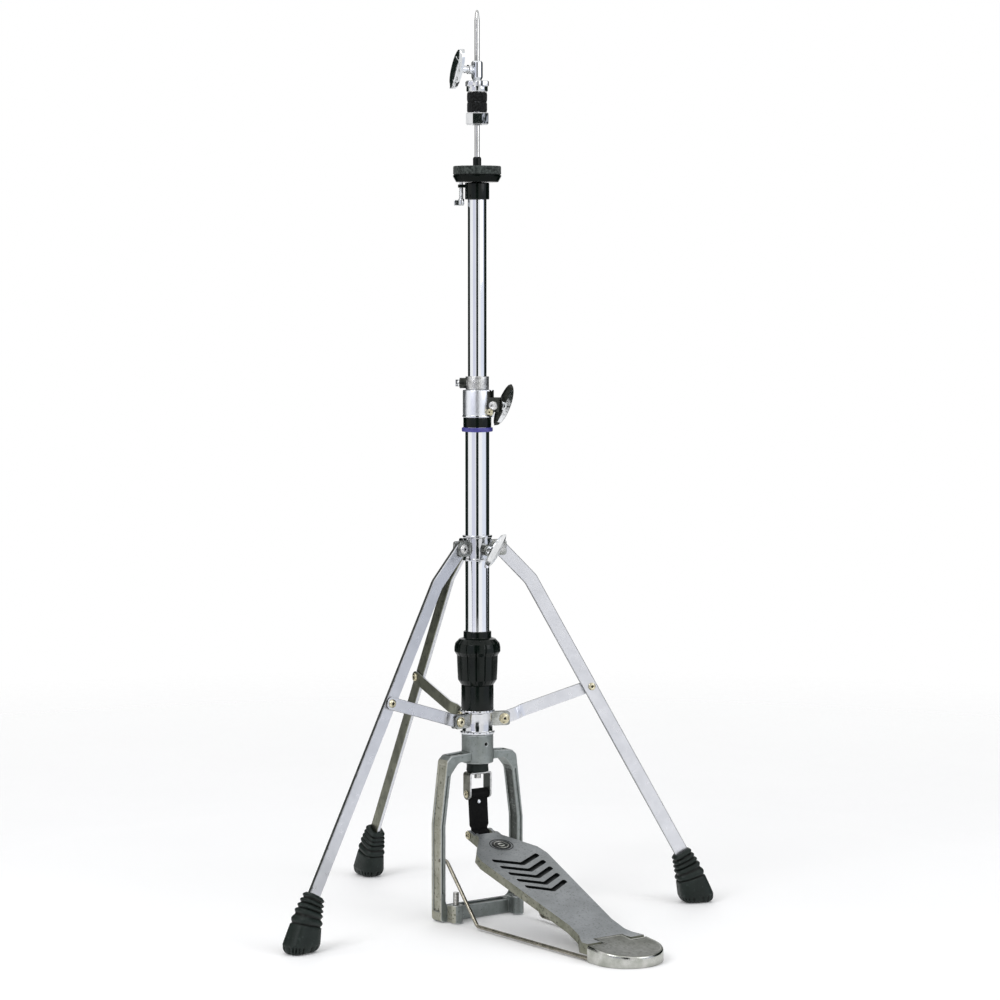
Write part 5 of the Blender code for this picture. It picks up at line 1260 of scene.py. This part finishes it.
def strap():
    run = TOE_PIN - SHACKLE_PIN
    ahead = run.normalized()
    side = Vector((1, 0, 0))
    through = ahead.cross(side)
    samples = []
    rows = 24
    for i in range(rows + 1):
        t = i / rows
        wide = 0.0132 - 0.002 * min(1.0, max(0.0, (t - 0.84) / 0.06))
        s = 0.004 + (run.length - 0.008) * t
        samples.append((SHACKLE_PIN + ahead * s, side, through, wide))
    parts = [strip(samples, 0.0036, 0.0008)]
    for centre, half, bore in ((SHACKLE_PIN, 0.013, 0.0028), (TOE_PIN, 0.0112, 0.0038)):
        loop = pipe(0.0056, bore, -half, half, 0.0006, 48)
        parts.append(solid_of(loop, Matrix.Translation(centre) @ ON_X))
    show("strap", joined(*parts), WEBBING)
    spot = Matrix.Translation(SHACKLE_PIN + ahead * 0.01)
    studs = [solid_of(head(0.0026, 0.0016, 0.0008), spot @ along(facing) @ move(0, 0, 0.0016))
             for facing in (through, -through)]
    piece("strap_rivet", joined(*studs), CHROME, "strap_body")


# ---------------------------------------------------------------- stage, light and camera

CAMERA_SIDE = -35.3925
FRONT = CAMERA_SIDE - 90.0


def camera():
    distance, height, tip, swing = 3.4807148, 0.7627739, math.radians(4.38066), math.radians(0.44)
    a = math.radians(CAMERA_SIDE)
    ahead = Vector((-math.sin(a), math.cos(a), 0))
    right = Vector((math.cos(a), math.sin(a), 0))
    turned_ahead = ahead * math.cos(swing) + right * math.sin(swing)
    right = right * math.cos(swing) - ahead * math.sin(swing)
    ahead = turned_ahead
    up = Vector((0, 0, 1))
    look = ahead * math.cos(tip) - up * math.sin(tip)
    top = up * math.cos(tip) + ahead * math.sin(tip)
    data = bpy.data.cameras.new("camera")
    data.sensor_width = 36.0
    data.lens = 106.6455
    data.clip_end = 50.0
    obj = bpy.data.objects.new("camera", data)
    place = Matrix.Identity(4)
    for i in range(3):
        place[i] = (right[i], top[i], -look[i], 0)
    place.translation = (math.sin(a) * distance, -math.cos(a) * distance, height)
    obj.matrix_world = place
    SCENE.collection.objects.link(obj)
    SCENE.camera = obj


DARK = (0.01, 0.016, 0.013)
BRIGHT = (1.0, 1.0, 1.0)
COOL = (0.84, 0.88, 0.98)
LILAC = (0.74, 0.75, 0.86)

# Bearings of the light tent's panels, in degrees from the front, with the colour that starts there.
PANELS = (
    (-180, BRIGHT), (-162, BRIGHT), (-158, DARK), (-100, DARK), (-94, BRIGHT), (-58, BRIGHT), (-50, LILAC),
    (-22, LILAC), (-14, BRIGHT), (-10, DARK), (10, DARK), (14, BRIGHT), (40, BRIGHT), (52, COOL), (88, COOL),
    (94, DARK), (158, DARK), (162, BRIGHT), (180, BRIGHT),
)


def world():
    made = bpy.data.worlds.new("studio")
    made.use_nodes = True
    SCENE.world = made
    tree = made.node_tree
    tree.nodes.clear()
    link = tree.links.new

    def node(kind, **values):
        found = tree.nodes.new(kind)
        for key, value in values.items():
            setattr(found, key, value)
        return found

    coords = node("ShaderNodeTexCoord")
    spin = node("ShaderNodeMapping", vector_type="POINT")
    spin.inputs["Rotation"].default_value = (0, 0, -math.radians(FRONT))
    link(coords.outputs["Generated"], spin.inputs["Vector"])
    split = node("ShaderNodeSeparateXYZ")
    link(spin.outputs["Vector"], split.inputs["Vector"])
    bearing = node("ShaderNodeMath", operation="ARCTAN2")
    link(split.outputs["Y"], bearing.inputs[0])
    link(split.outputs["X"], bearing.inputs[1])
    scale = node("ShaderNodeMapRange")
    scale.inputs["From Min"].default_value = -math.pi
    scale.inputs["From Max"].default_value = math.pi
    link(bearing.outputs[0], scale.inputs["Value"])
    ramp = node("ShaderNodeValToRGB")
    stops = ramp.color_ramp.elements
    for k, (degrees, colour) in enumerate(PANELS):
        spot = (degrees + 180) / 360
        stop = stops[k] if k < 2 else stops.new(spot)
        stop.position = spot
        stop.color = (*colour, 1.0)
    link(scale.outputs["Result"], ramp.inputs["Fac"])
    lift = node("ShaderNodeMapRange")
    lift.inputs["From Min"].default_value = 0.55
    lift.inputs["From Max"].default_value = 0.75
    link(split.outputs["Z"], lift.inputs["Value"])
    roof = node("ShaderNodeMix", data_type="RGBA")
    roof.inputs[7].default_value = (1.0, 1.0, 1.0, 1.0)
    link(lift.outputs["Result"], roof.inputs["Factor"])
    link(ramp.outputs["Color"], roof.inputs[6])
    tent = node("ShaderNodeBackground")
    link(roof.outputs[2], tent.inputs["Color"])
    plain = node("ShaderNodeBackground")
    plain.inputs["Color"].default_value = (*BRIGHT, 1.0)
    path = node("ShaderNodeLightPath")
    both = node("ShaderNodeMixShader")
    link(path.outputs["Is Camera Ray"], both.inputs["Fac"])
    link(tent.outputs[0], both.inputs[1])
    link(plain.outputs[0], both.inputs[2])
    out = node("ShaderNodeOutputWorld")
    link(both.outputs[0], out.inputs["Surface"])


def floor():
    bm = bmesh.new()
    bmesh.ops.create_circle(bm, cap_ends=True, segments=96, radius=2.4, matrix=move(0, -0.02, -0.0004))
    mesh = bpy.data.meshes.new("floor")
    bm.to_mesh(mesh)
    bm.free()
    obj = bpy.data.objects.new("floor", mesh)
    SCENE.collection.objects.link(obj)
    paint = Paint("pale_floor", (0.97, 0.97, 0.97), (0.955, 0.955, 0.955), (0.6, 0.75), 0.0, 3.0)
    paint.shader.inputs["Emission Color"].default_value = (1.0, 1.0, 1.0, 1.0)
    paint.shader.inputs["Emission Strength"].default_value = 0.06
    tree = paint.tree
    length = paint.node("ShaderNodeVectorMath")
    length.operation = "LENGTH"
    tree.links.new(paint.plain, length.inputs[0])
    fade = paint.spread(length.outputs["Value"], 0.0, 1.0, 0.7, 2.2)
    clear = paint.node("ShaderNodeBsdfTransparent")
    mix = paint.node("ShaderNodeMixShader")
    tree.links.new(fade, mix.inputs["Fac"])
    tree.links.new(paint.shader.outputs[0], mix.inputs[1])
    tree.links.new(clear.outputs[0], mix.inputs[2])
    tree.links.new(mix.outputs[0], tree.nodes["Material Output"].inputs["Surface"])
    mesh.materials.append(paint.material)


# A name, bearing, height, distance, size and power in watts for each lamp.
LAMPS = (("key", FRONT - 40, 2.2, 2.4, 1.2, 26.0), ("fill", FRONT + 55, 1.6, 2.6, 1.4, 12.0))


def lights():
    for name, bearing, high, far, size, power in LAMPS:
        data = bpy.data.lights.new(name, "AREA")
        data.shape = "SQUARE"
        data.size = size
        data.energy = power
        obj = bpy.data.objects.new(name, data)
        a = math.radians(bearing)
        obj.location = (math.cos(a) * far, math.sin(a) * far, high)
        obj.rotation_euler = (Vector((0, 0, 0.4)) - obj.location).to_track_quat("-Z", "Y").to_euler()
        SCENE.collection.objects.link(obj)


camera()
world()
floor()
lights()
SCENE.view_settings.view_transform = "Standard"

column()
knob()
clamp()
cymbal_seat()
clutch()
tripod()
pedal_frame()
heel_plate()
footboard()
link()
